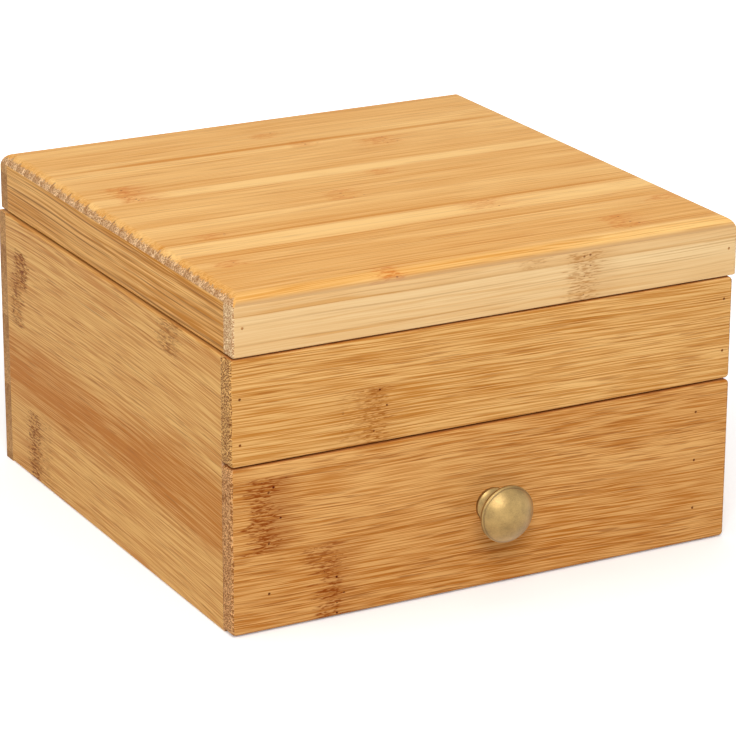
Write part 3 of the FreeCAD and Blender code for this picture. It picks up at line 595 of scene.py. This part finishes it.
def shade_across(tree, board, shades):
    """The lightness from one long side of a board to the other, by (across, lightness) pairs."""
    _, across, _ = split(tree, board)
    low, high = shades[0][0], shades[-1][0]
    ramp = add(tree, "ShaderNodeValToRGB")
    elements = ramp.color_ramp.elements
    while len(elements) < len(shades):
        elements.new(MIDDLE)
    for element, (place, lightness) in zip(elements, shades):
        element.position = (place - low) / (high - low)
        element.color = (lightness, lightness, lightness, 1.0)
    feed(tree, ramp.inputs[0], maths(tree, "DIVIDE", maths(tree, "SUBTRACT", across, low), high - low))
    return split_colour(tree, ramp.outputs[0])[0]


def join_knuckles(tree, board, knuckles):
    """The marks of all the knuckles on a board; where two meet, the stronger one shows."""
    marks = (0.0, 0.0, 0.0)
    for number, values in enumerate(knuckles):
        one = use_group(tree, KNUCKLE_PLACE, board=board, **values)["marks"]
        if number:
            most = add(tree, "ShaderNodeVectorMath", operation="MAXIMUM")
            feed(tree, most.inputs[0], marks)
            feed(tree, most.inputs[1], one)
            one = most.outputs[0]
        marks = one
    return marks


def bamboo(name, lies, seed, shades=(), soft_marks=(), knuckles=(), **changes):
    """A board's varnished bamboo, with places in millimetres along the grain and across it."""
    material, tree, shader = new_material(name)
    board, facing = place_on_board(tree, lies)
    shade = shade_across(tree, board, shades) if shades else PLAIN_SHADE
    for values in soft_marks:
        shade = maths(tree, "ADD", shade, use_group(tree, SOFT_MARK, board=board, **values)["amount"])
    marks = join_knuckles(tree, board, knuckles)
    finish = {key: colour(value) if isinstance(value, str) else value
              for key, value in {**COMMON_BOARD, **changes}.items()}
    grain = use_group(tree, BAMBOO_GRAIN, board=board, facing=facing, shade=shade, knuckle=marks, seed=seed,
                      **finish)
    feed(tree, shader.inputs["Base Color"], grain["colour"])
    feed(tree, shader.inputs["Roughness"], grain["roughness"])
    set_plainly(shader, {"Specular IOR Level": VARNISH_SPECULAR})
    emboss(tree, shader, grain["height"], *GRAIN_RELIEF)
    return material


def lid_top_bamboo():
    """Narrow strips of many shades, and pale teeth of end grain over the rounded left edge."""
    return bamboo(
        "bamboo_lid_top", "flat", 3.0,
        light="F7C67C", dark="D28A2E", fibre="A86214", knot="CC7226",
        strip_width=7.7, streaks=0.3, glue_line=0.2, lines=0.5, clouds=0.6,
        # The edge colour is painted shade over the rounded front and back of the lid top
        edge_wood="C69E70", edge_amount=0.85,
        end_light="F8D0A0", end_dark="96602C", end_start=0.62, end_dots=0.8, end_bands=0.6,
        shades=[(-100, 0.6), (-92, 0.5), (-60, 0.5), (-51, 0.55), (-50, 0.75), (-41, 0.8), (-40.3, 0.35),
                (-37, 0.4), (-36, 0.55), (-24, 0.55), (-23, 0.75), (-16.5, 0.75), (-16, 0.5),
                (14.5, 0.5), (15.2, 0.8), (22.3, 0.8), (23, 0.45), (52, 0.5), (54, 0.65), (58, 0.65),
                (60, 0.4), (62, 0.6), (72, 0.62), (76, 0.5), (100, 0.45)],
        soft_marks=[mark(0, 19, 70, 4, 0.35), mark(-30, 60.5, 65, 1.4, -0.55), mark(40, 60, 60, 1.2, -0.25),
                    mark(-40, 51.5, 28, 0.9, -0.4), mark(-70, 68.5, 28, 1.4, -0.3),
                    mark(-20, -44, 40, 4, 0.3), mark(80, -46, 30, 4, 0.25), mark(-60, -19, 50, 3, 0.2),
                    mark(0, -37.6, 110, 1.2, -0.35), mark(-20, -54, 90, 0.7, -0.35),
                    mark(20, -61, 60, 0.7, -0.3), mark(-5, -85, 50, 0.7, -0.35),
                    mark(-20, -93, 45, 0.8, -0.45), mark(65, -97, 40, 3, 0.3),
                    mark(-60, 29.6, 25, 0.8, -0.5), mark(20, 56.5, 80, 1.6, 0.25)],
        knuckles=[knuckle(-80, (15, 36), 5, 0.9, 0.5), knuckle(36, (44, 53.5), 7, 0.7, 0.2),
                  knuckle(0, (71, 78), 5, 0.5, 0.1), knuckle(8, (54, 62), 5, 0.6, 0.1),
                  knuckle(16, (6, 14), 5, 0.55, 0.1), knuckle(-11, (-16, -3), 6, 0.5, 0.1),
                  knuckle(-76, (-38, -31), 5, 0.55, 0.3), knuckle(30, (-49, -38.5), 9, 0.6, 0.1),
                  knuckle(-83, (-69.5, -62), 6, 0.7, 0.2), knuckle(92, (-69, -63), 6, 0.7, 0.3),
                  knuckle(61, (-92, -77), 5, 0.7, 0.3), knuckle(-39, (-101, -93), 5, 0.9, 0.2)])


def lid_front_bamboo():
    """A pale straight-grained board with long thin lines and one knuckle in its middle."""
    return bamboo(
        "bamboo_lid_front", "front", 11.0,
        light="F2D29E", dark="DAA666", fibre="B47C3C", knot="AE7030",
        strip_width=30.0, strip_start=85.0, strip_contrast=0.0,
        streaks=0.2, slope=-0.004, lines=0.25, clouds=0.3, long_lines=0.45,
        edge_wood="C08442", edge_amount=0.6,
        end_light="FFE6B6", end_dark="A4642A", end_dots=0.8, end_bands=0.0,
        shades=[(100, 0.5), (103, 0.5), (108, 0.6), (114.6, 0.75), (114.9, 0.3), (115.8, 0.45), (119, 0.4)],
        soft_marks=[mark(-60, 115, 45, 0.8, -0.5), mark(-30, 110, 60, 0.5, -0.35),
                    mark(0, 107.3, 90, 0.5, -0.3), mark(-40, 104.5, 60, 0.5, -0.35),
                    mark(40, 103, 70, 0.4, -0.3), mark(70, 112, 40, 3, 0.15)],
        knuckles=[knuckle(37, (100, 118.4), 6, 0.75, 0.3), knuckle(16, (115, 119), 5, 0.5, 0.2)])


def upper_front_bamboo():
    """A streaky board with a strong knuckle left of its middle."""
    return bamboo(
        "bamboo_upper_front", "front", 23.0,
        light="EAB974", dark="C07E34", fibre="9A5616", knot="A05C1C",
        strip_start=54.5, strip_contrast=0.1,
        streaks=0.5, slope=0.02, shortness=1.3, lines=0.9, clouds=0.16,
        edge_wood="AC622A", edge_amount=0.75,
        end_light="FFCA7C", end_dark="6E340A", end_dots=0.9, end_bands=0.1,
        soft_marks=[mark(60, 75, 60, 14, 0.15), mark(-20, 93, 60, 1.2, -0.2), mark(-75, 75, 25, 3, -0.12)],
        knuckles=[knuckle(-45.5, (61, 82.3), 5, 1.0, 0.1), knuckle(-53, (61, 82.3), -5, 0.5, 0.4)])


def drawer_front_bamboo():
    """The darkest board: two wide strips, with knuckles near its left end."""
    return bamboo(
        "bamboo_drawer_front", "front", 31.0,
        light="E2AC68", dark="B46C22", fibre="8E4A10", knot="8E440C",
        strip_width=27.6, strip_start=1.2, strip_contrast=0.1,
        streaks=0.55, slope=0.03, shortness=1.6, lines=0.85, clouds=0.2,
        edge_wood="A85E28", edge_amount=0.75,
        end_light="F6BE80", end_dark="824A18", end_dots=0.88, end_bands=0.1,
        shades=[(0, 0.45), (28.5, 0.45), (29, 0.5), (40, 0.55), (56, 0.5), (56.8, 0.55), (62, 0.5)],
        soft_marks=[mark(-30, 43, 35, 12, 0.15), mark(70, 37, 45, 7, 0.2), mark(-75, 59, 30, 2.5, 0.3),
                    mark(0, 28.7, 110, 0.5, -0.3), mark(20, 12, 60, 9, -0.1)],
        knuckles=[knuckle(-88.5, (29, 56.5), 5.5, 1.15, 0.6), knuckle(-63, (0, 22), 4.5, 1.15, 0.3),
                  knuckle(-66, (20, 28.6), 7, 0.85, 0.4)])


def left_side_bamboo():
    """Wide strips with bowed grain, a dark one in the middle and knuckles near the ends."""
    return bamboo(
        "bamboo_left_side", "side", 41.0,
        light="E4B46C", dark="B87020", fibre="9A5810", knot="7E4012",
        strip_width=28.6, strip_start=-0.3, strip_contrast=0.0, glue_line=0.1,
        streaks=0.6, slope=-0.01, bow=0.00025, shortness=1.2, clouds=0.22,
        edge_wood="C08444", edge_amount=0.7, end_light="DEB48A", end_dark="8C5A2C",
        shades=[(0, 0.65), (25, 0.65), (30, 0.4), (35, 0.17), (46, 0.15), (52, 0.34), (58, 0.62), (87, 0.67),
                (89, 0.6), (101, 0.6)],
        soft_marks=[mark(60, 38, 50, 5, -0.15), mark(-10, 41, 60, 3, -0.15)],
        knuckles=[knuckle(79, (74, 88.5), 5, 1.25, 0.2), knuckle(84, (58, 76), 5, 0.9, 0.2),
                  knuckle(70, (0, 27), 5.5, 1.05, 0.1), knuckle(59, (0, 27), 5, 0.3, 0.1),
                  knuckle(-52, (88, 101), 8, 0.7, 0.1)])


def lid_left_bamboo():
    """Straight grain with long lines, close together under the lid's top."""
    return bamboo(
        "bamboo_lid_left", "side", 53.0,
        light="F0BE74", dark="BC7820", fibre="8A520E",
        strip_width=30.0, strip_start=96.0, strip_contrast=0.0,
        slope=-0.01, lines=0.6, clouds=0.35, long_lines=0.9,
        edge_wood="B0702C", edge_amount=0.6,
        shades=[(100, 0.5), (104, 0.45), (109, 0.45), (114, 0.65), (116, 0.5), (118.5, 0.45)],
        soft_marks=[mark(-40, 117.9, 60, 0.4, -0.7), mark(-42, 117, 60, 0.4, -0.7),
                    mark(-45, 116, 55, 0.4, -0.7), mark(-50, 115, 45, 0.4, -0.5),
                    mark(-60, 104, 30, 1.2, -0.35), mark(-30, 110.4, 75, 0.5, -0.6),
                    mark(-45, 107, 60, 0.5, -0.4), mark(-45, 103.4, 50, 0.5, -0.5),
                    mark(-10, 112.3, 80, 0.4, -0.5), mark(70, 106, 30, 4, -0.2)])


def right_side_bamboo():
    return bamboo("bamboo_right_side", "side", 61.0, light="EFC084", dark="BE8040", strip_start=9.0,
                  strip_contrast=0.5, streaks=0.6, slope=0.01, loose_knuckles=0.8)


def back_bamboo():
    return bamboo("bamboo_back", "front", 71.0, light="EDBB78", dark="BC7F3E", strip_start=3.0,
                  strip_contrast=0.5, streaks=0.5, slope=-0.012, loose_knuckles=0.8)


def floor_board_bamboo():
    return bamboo("bamboo_floors", "flat", 103.0, light="EBC084", dark="C48C4C", strip_width=19.0,
                  strip_start=2.0, strip_contrast=0.5, loose_knuckles=0.7)


def pale_bamboo(name, lies, seed, **changes):
    """The paler wood of the dividers, the drawer's sides and the beads round the mirror."""
    return bamboo(name, lies, seed, light="F3CB90", dark="CE9858", **changes)


def paint_bamboo():
    paint(lid_top_bamboo(), "lid_top_panel")
    paint(lid_front_bamboo(), "lid_front_board")
    paint(upper_front_bamboo(), "upper_front_board")
    paint(drawer_front_bamboo(), "drawer_front")
    paint(left_side_bamboo(), "left_side_panel")
    paint(lid_left_bamboo(), "lid_left_board")
    paint(right_side_bamboo(), "right_side_panel", "lid_right_board")
    paint(back_bamboo(), "back_panel", "lid_back_board")
    paint(pale_bamboo("bamboo_inner_front", "front", 83.0, strip_width=19.0, strip_start=58.0, streaks=0.35,
                      loose_knuckles=0.5),
          "tray_divider_ring", "tray_divider_cross_1", "tray_divider_cross_2", "drawer_back")
    paint(pale_bamboo("bamboo_inner_side", "side", 97.0, strip_width=21.0, strip_start=4.0, streaks=0.35,
                      loose_knuckles=0.5),
          "tray_divider_long", "drawer_left_side", "drawer_right_side", "drawer_guide_left",
          "drawer_guide_right")
    paint(floor_board_bamboo(), "case_bottom", "tray_floor", "drawer_bottom")
    paint(pale_bamboo("bamboo_bead_front", "flat", 113.0, strip_contrast=0.2), "mirror_bead_front",
          "mirror_bead_back")
    paint(pale_bamboo("bamboo_bead_side", "flat side", 127.0, strip_contrast=0.2), "mirror_bead_left",
          "mirror_bead_right")


# Metals and glass

METAL_RELIEF = (0.35, 0.02 * MM)
METAL_TONES = (0.25, 0.75)
KNOB_RELIEF = (0.5, 0.05 * MM)
KNOB_TONES = (0.3, 0.7)
KNOB_GROOVE_IN = 0.5
KNOB_GROOVE_FADES = (0.05, 0.3)
KNOB_GROOVE_PAINTED_SHADE = 0.45
KNOB_GROOVE_DEPTH = -3.0
KNOB_ROUGHNESS = (0.12, 0.38)
MIRROR_HAZE = (0.35, 0.8, 0.012, 0.05)


def plain_material(name):
    """A new material, with its place on the piece in millimetres."""
    material, tree, shader = new_material(name)
    source = add(tree, "ShaderNodeTexCoord")
    return material, tree, shader, stretch(tree, source.outputs["Object"], (MM_IN_METRE,) * 3)


def metal(name, light, dark, rough, spread=0.2):
    """A mottled metal: patches of tarnish, fine scratches and a grainy surface."""
    material, tree, shader, where = plain_material(name)
    patches = noise(tree, where, scale=0.22, detail=4.0, roughness=0.62)
    grain = noise(tree, where, scale=3.2, detail=3.0, roughness=0.7)
    tarnish = times_plus(tree, grain, 0.35, times_plus(tree, patches, 0.9, -0.15))
    tone = ease(tree, tarnish, *METAL_TONES)
    feed(tree, shader.inputs["Base Color"], mix(tree, tone, colour(light), colour(dark)))
    set_plainly(shader, {"Metallic": 1.0})
    feed(tree, shader.inputs["Roughness"], times_plus(tree, tarnish, spread, rough))
    emboss(tree, shader, grain, *METAL_RELIEF)
    return material


def find_knob_groove(tree, where):
    """The ring just inside the knob's rim, round the knob's axis from front to back."""
    low, high = (corner * MM_IN_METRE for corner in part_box("knob"))
    x, _, z = split(tree, where)
    side = maths(tree, "SUBTRACT", x, (low.x + high.x) / 2)
    height = maths(tree, "SUBTRACT", z, (low.z + high.z) / 2)
    radius = length_of(tree, merge(tree, side, height, 0.0))
    from_groove = distance(tree, radius, (high.x - low.x) / 2 - KNOB_GROOVE_IN)
    return fade(tree, from_groove, *KNOB_GROOVE_FADES)


def antique_brass():
    """Satin brass, with painted shade in the groove behind the dome's edge, and lightly pitted."""
    material, tree, shader, where = plain_material("antique_brass")
    groove = find_knob_groove(tree, where)
    clouds = noise(tree, where, scale=0.16, detail=3.0, roughness=0.55)
    grain = noise(tree, where, scale=2.2, detail=3.0, roughness=0.7)
    tarnish = times_plus(tree, grain, 0.45, times_plus(tree, clouds, 0.7, -0.08))
    brass = mix(tree, ease(tree, tarnish, *KNOB_TONES), colour("B09056"), colour("8C7242"))
    # Painted shade: along the groove ring the brass is darkened towards dark brown, for the shade in the
    # groove
    brass = mix(tree, product(tree, groove, KNOB_GROOVE_PAINTED_SHADE), brass, colour("5C4526"))
    feed(tree, shader.inputs["Base Color"], brass)
    feed(tree, shader.inputs["Roughness"], times_plus(tree, tarnish, *KNOB_ROUGHNESS))
    set_plainly(shader, {"Metallic": 1.0, "Coat Weight": 0.5, "Coat Roughness": 0.42})
    emboss(tree, shader, times_plus(tree, groove, KNOB_GROOVE_DEPTH, grain), *KNOB_RELIEF)
    return material


def mirror_glass():
    """A clear mirror with a faint haze."""
    material, tree, shader, where = plain_material("mirror_glass")
    set_plainly(shader, {"Base Color": colour("F0F3F2"), "Metallic": 1.0})
    haze = noise(tree, where, scale=0.03, detail=3.0, roughness=0.6)
    feed(tree, shader.inputs["Roughness"], ease(tree, haze, *MIRROR_HAZE))
    return material


def paint_metals():
    paint(antique_brass(), "knob")
    paint(metal("hinge_brass", "CDA963", "A07A3E", 0.24), "hinge_case_leaf_left", "hinge_case_leaf_right",
          "hinge_lid_leaf_left", "hinge_lid_leaf_right", "hinge_pin_left", "hinge_pin_right",
          "hinge_case_screws", "hinge_lid_screws")
    paint(metal("old_brads", "8A5228", "5E3518", 0.45), "upper_front_brads", "back_panel_brads",
          "drawer_front_brads", "drawer_back_brads")
    paint(metal("pale_brads", "B88854", "94683A", 0.5), "lid_front_brads", "lid_back_brads")
    paint(metal("zinc_steel", "C4C6C8", "8E9196", 0.25), "knob_screw", "knob_washer")
    paint(mirror_glass(), "mirror")


# Cloth

VELVET_TONES = (0.35, 0.85)
VELVET_RELIEF = (0.6, 0.2 * MM)
FELT_TONES = (0.35, 0.75)
FELT_RELIEF = (0.7, 0.25 * MM)


def velvet():
    """Short pile, brushed unevenly."""
    material, tree, shader, where = plain_material("velvet")
    brushed = noise(tree, where, scale=0.11, detail=3.0, roughness=0.6, twist=0.6)
    pile = noise(tree, where, scale=4.5, detail=2.0, roughness=0.7)
    tone = times_plus(tree, pile, 0.5, product(tree, brushed, 0.75))
    cloth = mix(tree, ease(tree, tone, *VELVET_TONES), colour("C4B49B"), colour("DDD0BA"))
    feed(tree, shader.inputs["Base Color"], cloth)
    set_plainly(shader, {"Roughness": 0.9, "Sheen Weight": 0.7, "Sheen Roughness": 0.35,
                         "Specular IOR Level": 0.15})
    emboss(tree, shader, times_plus(tree, brushed, 0.6, pile), *VELVET_RELIEF)
    return material


def felt():
    """Pressed fibres, with a few darker and lighter ones."""
    material, tree, shader, where = plain_material("felt")
    clumps = noise(tree, where, scale=0.35, detail=4.0, roughness=0.7)
    fibres = noise(tree, where, scale=2.6, detail=4.0, roughness=0.75, twist=1.2)
    tone = times_plus(tree, fibres, 0.6, product(tree, clumps, 0.5))
    cloth = mix(tree, ease(tree, tone, *FELT_TONES), colour("C0B199"), colour("D9CDB8"))
    feed(tree, shader.inputs["Base Color"], cloth)
    set_plainly(shader, {"Roughness": 0.95, "Sheen Weight": 0.35, "Sheen Roughness": 0.6,
                         "Specular IOR Level": 0.1})
    emboss(tree, shader, fibres, *FELT_RELIEF)
    return material


# Ring rolls

# The form is shaped ten times as large as a roll, in metres, and made smaller at the end
ROLL_WORK_SCALE = 10.0
ROLL_VOXEL = 1.3 * MM
ROLL_SKIN = 0.5 * MM
ROLL_TOP_ROUND = 0.42
ROLL_END_ROUND = 1.6 * MM
ROLL_FLAT_FOOT = 0.6 * MM
ROLL_PRESSURE = 4.0
ROLL_PRESSURE_STEPS = 20
ROLL_MOST_SWELL = 0.9 * MM
LONG_EDGE = 0.1
SAME_PLACE = 0.01

# On the finished roll, in millimetres
ROLL_CORE_HEIGHT = 5.0
SEAM_IN = 2.2
SEAM_WIDTH = 0.55
SEAM_DEPTH = 0.38
DENT_RATE, DENT_DEPTH, DENT_STEP = 0.09, 0.28, 9.1
DIMPLE_RATE, DIMPLE_DEPTH, DIMPLE_STEP = 0.3, 0.1, 5.3
PILE_IN = 0.15
FOOT_HEIGHT = 3.0


def only(piece):
    """Selects this object and nothing else."""
    bpy.ops.object.select_all(action="DESELECT")
    piece.select_set(True)
    bpy.context.view_layer.objects.active = piece


def inflate(piece, rest_height):
    """Swells the foam under its cover with cloth under pressure; what it stands on stays flat."""
    resting = piece.vertex_groups.new(name="resting")
    resting.add([point.index for point in piece.data.vertices if point.co.z < rest_height], 1.0, "REPLACE")
    before = [point.co.copy() for point in piece.data.vertices]
    cover = piece.modifiers.new("cover", "CLOTH")
    cover.settings.quality = 6
    cover.settings.use_pressure = True
    cover.settings.uniform_pressure_force = ROLL_PRESSURE
    cover.settings.vertex_group_mass = "resting"
    cover.settings.effector_weights.gravity = 0.0
    for step in range(1, ROLL_PRESSURE_STEPS + 1):
        bpy.context.scene.frame_set(step)
    only(piece)
    bpy.ops.object.modifier_apply(modifier="cover")
    bpy.context.scene.frame_set(1)
    limit = ROLL_MOST_SWELL * ROLL_WORK_SCALE
    for point, start in zip(piece.data.vertices, before):
        moved = point.co - start
        if moved.length > limit:
            point.co = start + moved * (limit / moved.length)


def round_edges(piece, wanted, offset, segments):
    """Rounds those edges whose two ends pass the test."""
    bpy.ops.object.mode_set(mode="EDIT")
    bpy.ops.mesh.select_all(action="DESELECT")
    bpy.ops.object.mode_set(mode="OBJECT")
    for edge in piece.data.edges:
        first, second = (piece.data.vertices[index].co for index in edge.vertices)
        edge.select = wanted(first, second)
    bpy.ops.object.mode_set(mode="EDIT")
    bpy.ops.mesh.bevel(offset=offset, segments=segments, affect="EDGES")
    bpy.ops.object.mode_set(mode="OBJECT")


def ring_roll_form(size):
    """One roll, lying along X with its foot at the origin's height, in metres."""
    length, width, height = size
    big = ROLL_WORK_SCALE
    skin = ROLL_SKIN
    bpy.ops.object.select_all(action="DESELECT")
    bpy.ops.mesh.primitive_cube_add(size=1.0, location=(0, 0, height * big / 2))
    roll = bpy.context.object
    roll.scale = ((length - 2 * skin) * big, (width - 2 * skin) * big, (height - skin) * big)
    bpy.ops.object.transform_apply(location=True, rotation=True, scale=True)
    for point in roll.data.vertices:
        point.co.z = max(point.co.z - skin * big / 2, 0.0)

    def is_long_top_edge(first, second):
        return min(first.z, second.z) > height * big / 2 and abs(first.x - second.x) > LONG_EDGE

    def is_end_edge(first, second):
        return abs(first.x - second.x) < SAME_PLACE and first.z + second.z > SAME_PLACE

    round_edges(roll, is_long_top_edge, width * big * ROLL_TOP_ROUND, 8)
    round_edges(roll, is_end_edge, ROLL_END_ROUND * big, 4)
    roll.data.remesh_voxel_size = ROLL_VOXEL * big
    only(roll)
    bpy.ops.object.voxel_remesh()
    inflate(roll, ROLL_FLAT_FOOT * big)
    rounding = roll.modifiers.new("rounding", "SUBSURF")
    rounding.levels = rounding.render_levels = 1
    bpy.ops.object.modifier_apply(modifier="rounding")
    roll.data.transform(Matrix.Scale(1.0 / big, 4))
    return roll


def dress(place, number, half_length):
    """Where a place on the form goes on one roll: the cloth is drawn in at the seams and dents a little."""
    spot = place * MM_IN_METRE
    side = Vector((0.0, place.y, max(place.z - ROLL_CORE_HEIGHT * MM, 0.0)))
    outward = side.normalized() if side.length > 0 else Vector((0, 0, 1))
    from_end = half_length * MM_IN_METRE - abs(spot.x)
    seam = math.exp(-((from_end - SEAM_IN) / SEAM_WIDTH) ** 2)
    dent = noise_of(spot * DENT_RATE + Vector((number * DENT_STEP, 0, 0))) * DENT_DEPTH
    dent += noise_of(spot * DIMPLE_RATE + Vector((0, number * DIMPLE_STEP, 0))) * DIMPLE_DEPTH
    lift = min(spot.z / FOOT_HEIGHT, 1.0)
    return place + outward * (dent - SEAM_DEPTH * seam - PILE_IN) * lift * MM


def kept_inside(place, low, high):
    """The place in the box that is nearest to this one."""
    return Vector([max(least, min(most, value)) for value, least, most in zip(place, low, high)])


def make_ring_rolls(finish):
    """Six padded rolls from one form, each with a seam near its ends and its own small dents."""
    names = sorted(name for name in NODES if name.startswith("ring_roll"))
    low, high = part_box(names[0])
    form = ring_roll_form(high - low)
    for number, name in enumerate(names):
        low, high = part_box(name)
        half_length = (high.x - low.x) / 2
        foot = Vector(((low.x + high.x) / 2, (low.y + high.y) / 2, low.z))
        mesh = form.data.copy()
        for point in mesh.vertices:
            point.co = kept_inside(dress(point.co, number, half_length) + foot, low, high)
        mesh.materials.clear()
        mesh.materials.append(finish)
        roll = bpy.data.objects.new(name.replace("ring_roll", "velvet_roll"), mesh)
        bpy.context.scene.collection.objects.link(roll)
        only(roll)
        bpy.ops.object.shade_smooth()
        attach(roll, "case")
        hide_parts(name)
    bpy.data.objects.remove(form)


# Felt sheets, with lengths in millimetres

SHEET_STEP = 3.0
FEWEST_STEPS = 8
SHEET_TRIM = 0.3
SHEET_THINNED = 0.8
SHEET_EDGE_ROUND = 0.4
WAVE_RATE, WAVE_HEIGHT, WAVE_STEP = 0.035, 0.35, 3.7


def make_felt_sheet(node, body, finish, number):
    """A cut sheet of felt that lies on its board, with soft edges and a slight wave."""
    low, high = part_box(node)
    size = high - low
    across, deep = (max(FEWEST_STEPS, round(side * MM_IN_METRE / SHEET_STEP)) for side in (size.x, size.y))
    bpy.ops.object.select_all(action="DESELECT")
    bpy.ops.mesh.primitive_grid_add(x_subdivisions=across, y_subdivisions=deep, size=1.0,
                                    location=((low.x + high.x) / 2, (low.y + high.y) / 2, low.z))
    sheet = bpy.context.object
    sheet.name = node.replace("felt_", "felt_sheet_")
    sheet.scale = (size.x - SHEET_TRIM * MM, size.y - SHEET_TRIM * MM, 1.0)
    bpy.ops.object.transform_apply(location=True, rotation=True, scale=True)
    thickness = size.z * SHEET_THINNED
    for point in sheet.data.vertices:
        spot = point.co * MM_IN_METRE
        wave = noise_of(Vector((spot.x * WAVE_RATE, spot.y * WAVE_RATE, number * WAVE_STEP)))
        point.co.z = low.z + thickness / 2 + max(wave, 0.0) * WAVE_HEIGHT * MM
    wall = sheet.modifiers.new("thickness", "SOLIDIFY")
    wall.thickness = thickness
    wall.offset = 0.0
    bpy.ops.object.modifier_apply(modifier="thickness")
    soft = sheet.modifiers.new("soft_edges", "BEVEL")
    soft.width = thickness * SHEET_EDGE_ROUND
    soft.segments = 3
    soft.limit_method = "ANGLE"
    bpy.ops.object.modifier_apply(modifier="soft_edges")
    bpy.ops.object.shade_smooth()
    sheet.data.materials.append(finish)
    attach(sheet, body)
    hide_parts(node)


def line_with_felt(finish):
    """The drawer's sheet goes with the drawer, and the others lie on the tray's floor."""
    for number, node in enumerate(sorted(name for name in NODES if name.startswith("felt"))):
        if node == "felt_drawer":
            make_felt_sheet(node, "drawer", finish, number)
        else:
            make_felt_sheet(node, "case", finish, number)


# Floor and light, with lengths in metres and power in watts

FLOOR_RADIUS = 4.0
FLOOR_SIDES = 96
FLOOR_GLOW = (0.12, 0.5, 0.2, 0.7)
SKY_LIGHT = 0.35
SKY_SEEN_EXTRA = 0.65
LAMP_AIM = Vector((0.0, 0.0, 0.06))

# Each softbox's name, place, side and power
SOFTBOXES = (
    ("key_softbox", (-0.55, -1.25, 1.2), 0.8, 18.7),
    ("fill_softbox", (1.2, -1.2, 0.7), 1.0, 2.0),
    ("side_softbox", (-1.5, 0.1, 0.8), 1.0, 5.3),
    ("top_softbox", (0.1, 0.5, 1.5), 1.2, 5.5),
)


def hang_softbox(name, place, side, power):
    """A square area lamp that faces the box."""
    data = bpy.data.lights.new(name, "AREA")
    data.shape = "RECTANGLE"
    data.size = data.size_y = side
    data.energy = power
    lamp = bpy.data.objects.new(name, data)
    bpy.context.scene.collection.objects.link(lamp)
    lamp.location = place
    lamp.rotation_euler = (LAMP_AIM - Vector(place)).to_track_quat("-Z", "Y").to_euler()


def is_seen(tree):
    """1 where a surface is looked at, directly, in a mirror or through glass, and 0 where it only lights."""
    path = add(tree, "ShaderNodeLightPath")
    seen = larger(tree, path.outputs["Is Camera Ray"], path.outputs["Is Glossy Ray"])
    return larger(tree, seen, path.outputs["Is Transmission Ray"])


def pale_floor():
    """A pale floor that the camera sees white away from the box's shadow."""
    material, tree, shader = new_material("pale_floor")
    tree.nodes.remove(shader)
    seen = is_seen(tree)
    matte = add(tree, "ShaderNodeBsdfDiffuse")
    feed(tree, matte.inputs["Color"], mix(tree, seen, colour("E2E0DC"), colour("FFFFFF")))
    place = add(tree, "ShaderNodeTexCoord")
    bright = ease(tree, length_of(tree, place.outputs["Object"]), *FLOOR_GLOW)
    glow = add(tree, "ShaderNodeEmission")
    feed(tree, glow.inputs["Strength"], product(tree, seen, bright))
    both = add(tree, "ShaderNodeAddShader")
    feed(tree, both.inputs[0], matte.outputs[0])
    feed(tree, both.inputs[1], glow.outputs[0])
    feed(tree, tree.nodes["Material Output"].inputs["Surface"], both.outputs[0])
    return material


def set_floor():
    bpy.ops.object.select_all(action="DESELECT")
    bpy.ops.mesh.primitive_circle_add(vertices=FLOOR_SIDES, radius=FLOOR_RADIUS, fill_type="NGON",
                                      location=(0, 0, 0))
    floor = bpy.context.object
    floor.name = "floor"
    floor.data.materials.append(pale_floor())


def set_light():
    """A white sky, dimmer as a light than as it is seen, and four softboxes round the box."""
    world = bpy.data.worlds.new("studio")
    bpy.context.scene.world = world
    world.use_nodes = True
    tree = world.node_tree
    sky = tree.nodes["Background"]
    sky.inputs["Color"].default_value = colour("FFFFFF")
    feed(tree, sky.inputs["Strength"], times_plus(tree, is_seen(tree), SKY_SEEN_EXTRA, SKY_LIGHT))
    for name, place, side, power in SOFTBOXES:
        hang_softbox(name, place, side, power)
    bpy.context.scene.view_settings.view_transform = "Standard"


set_camera()
set_floor()
set_light()
paint_bamboo()
paint_metals()
make_ring_rolls(velvet())
line_with_felt(felt())
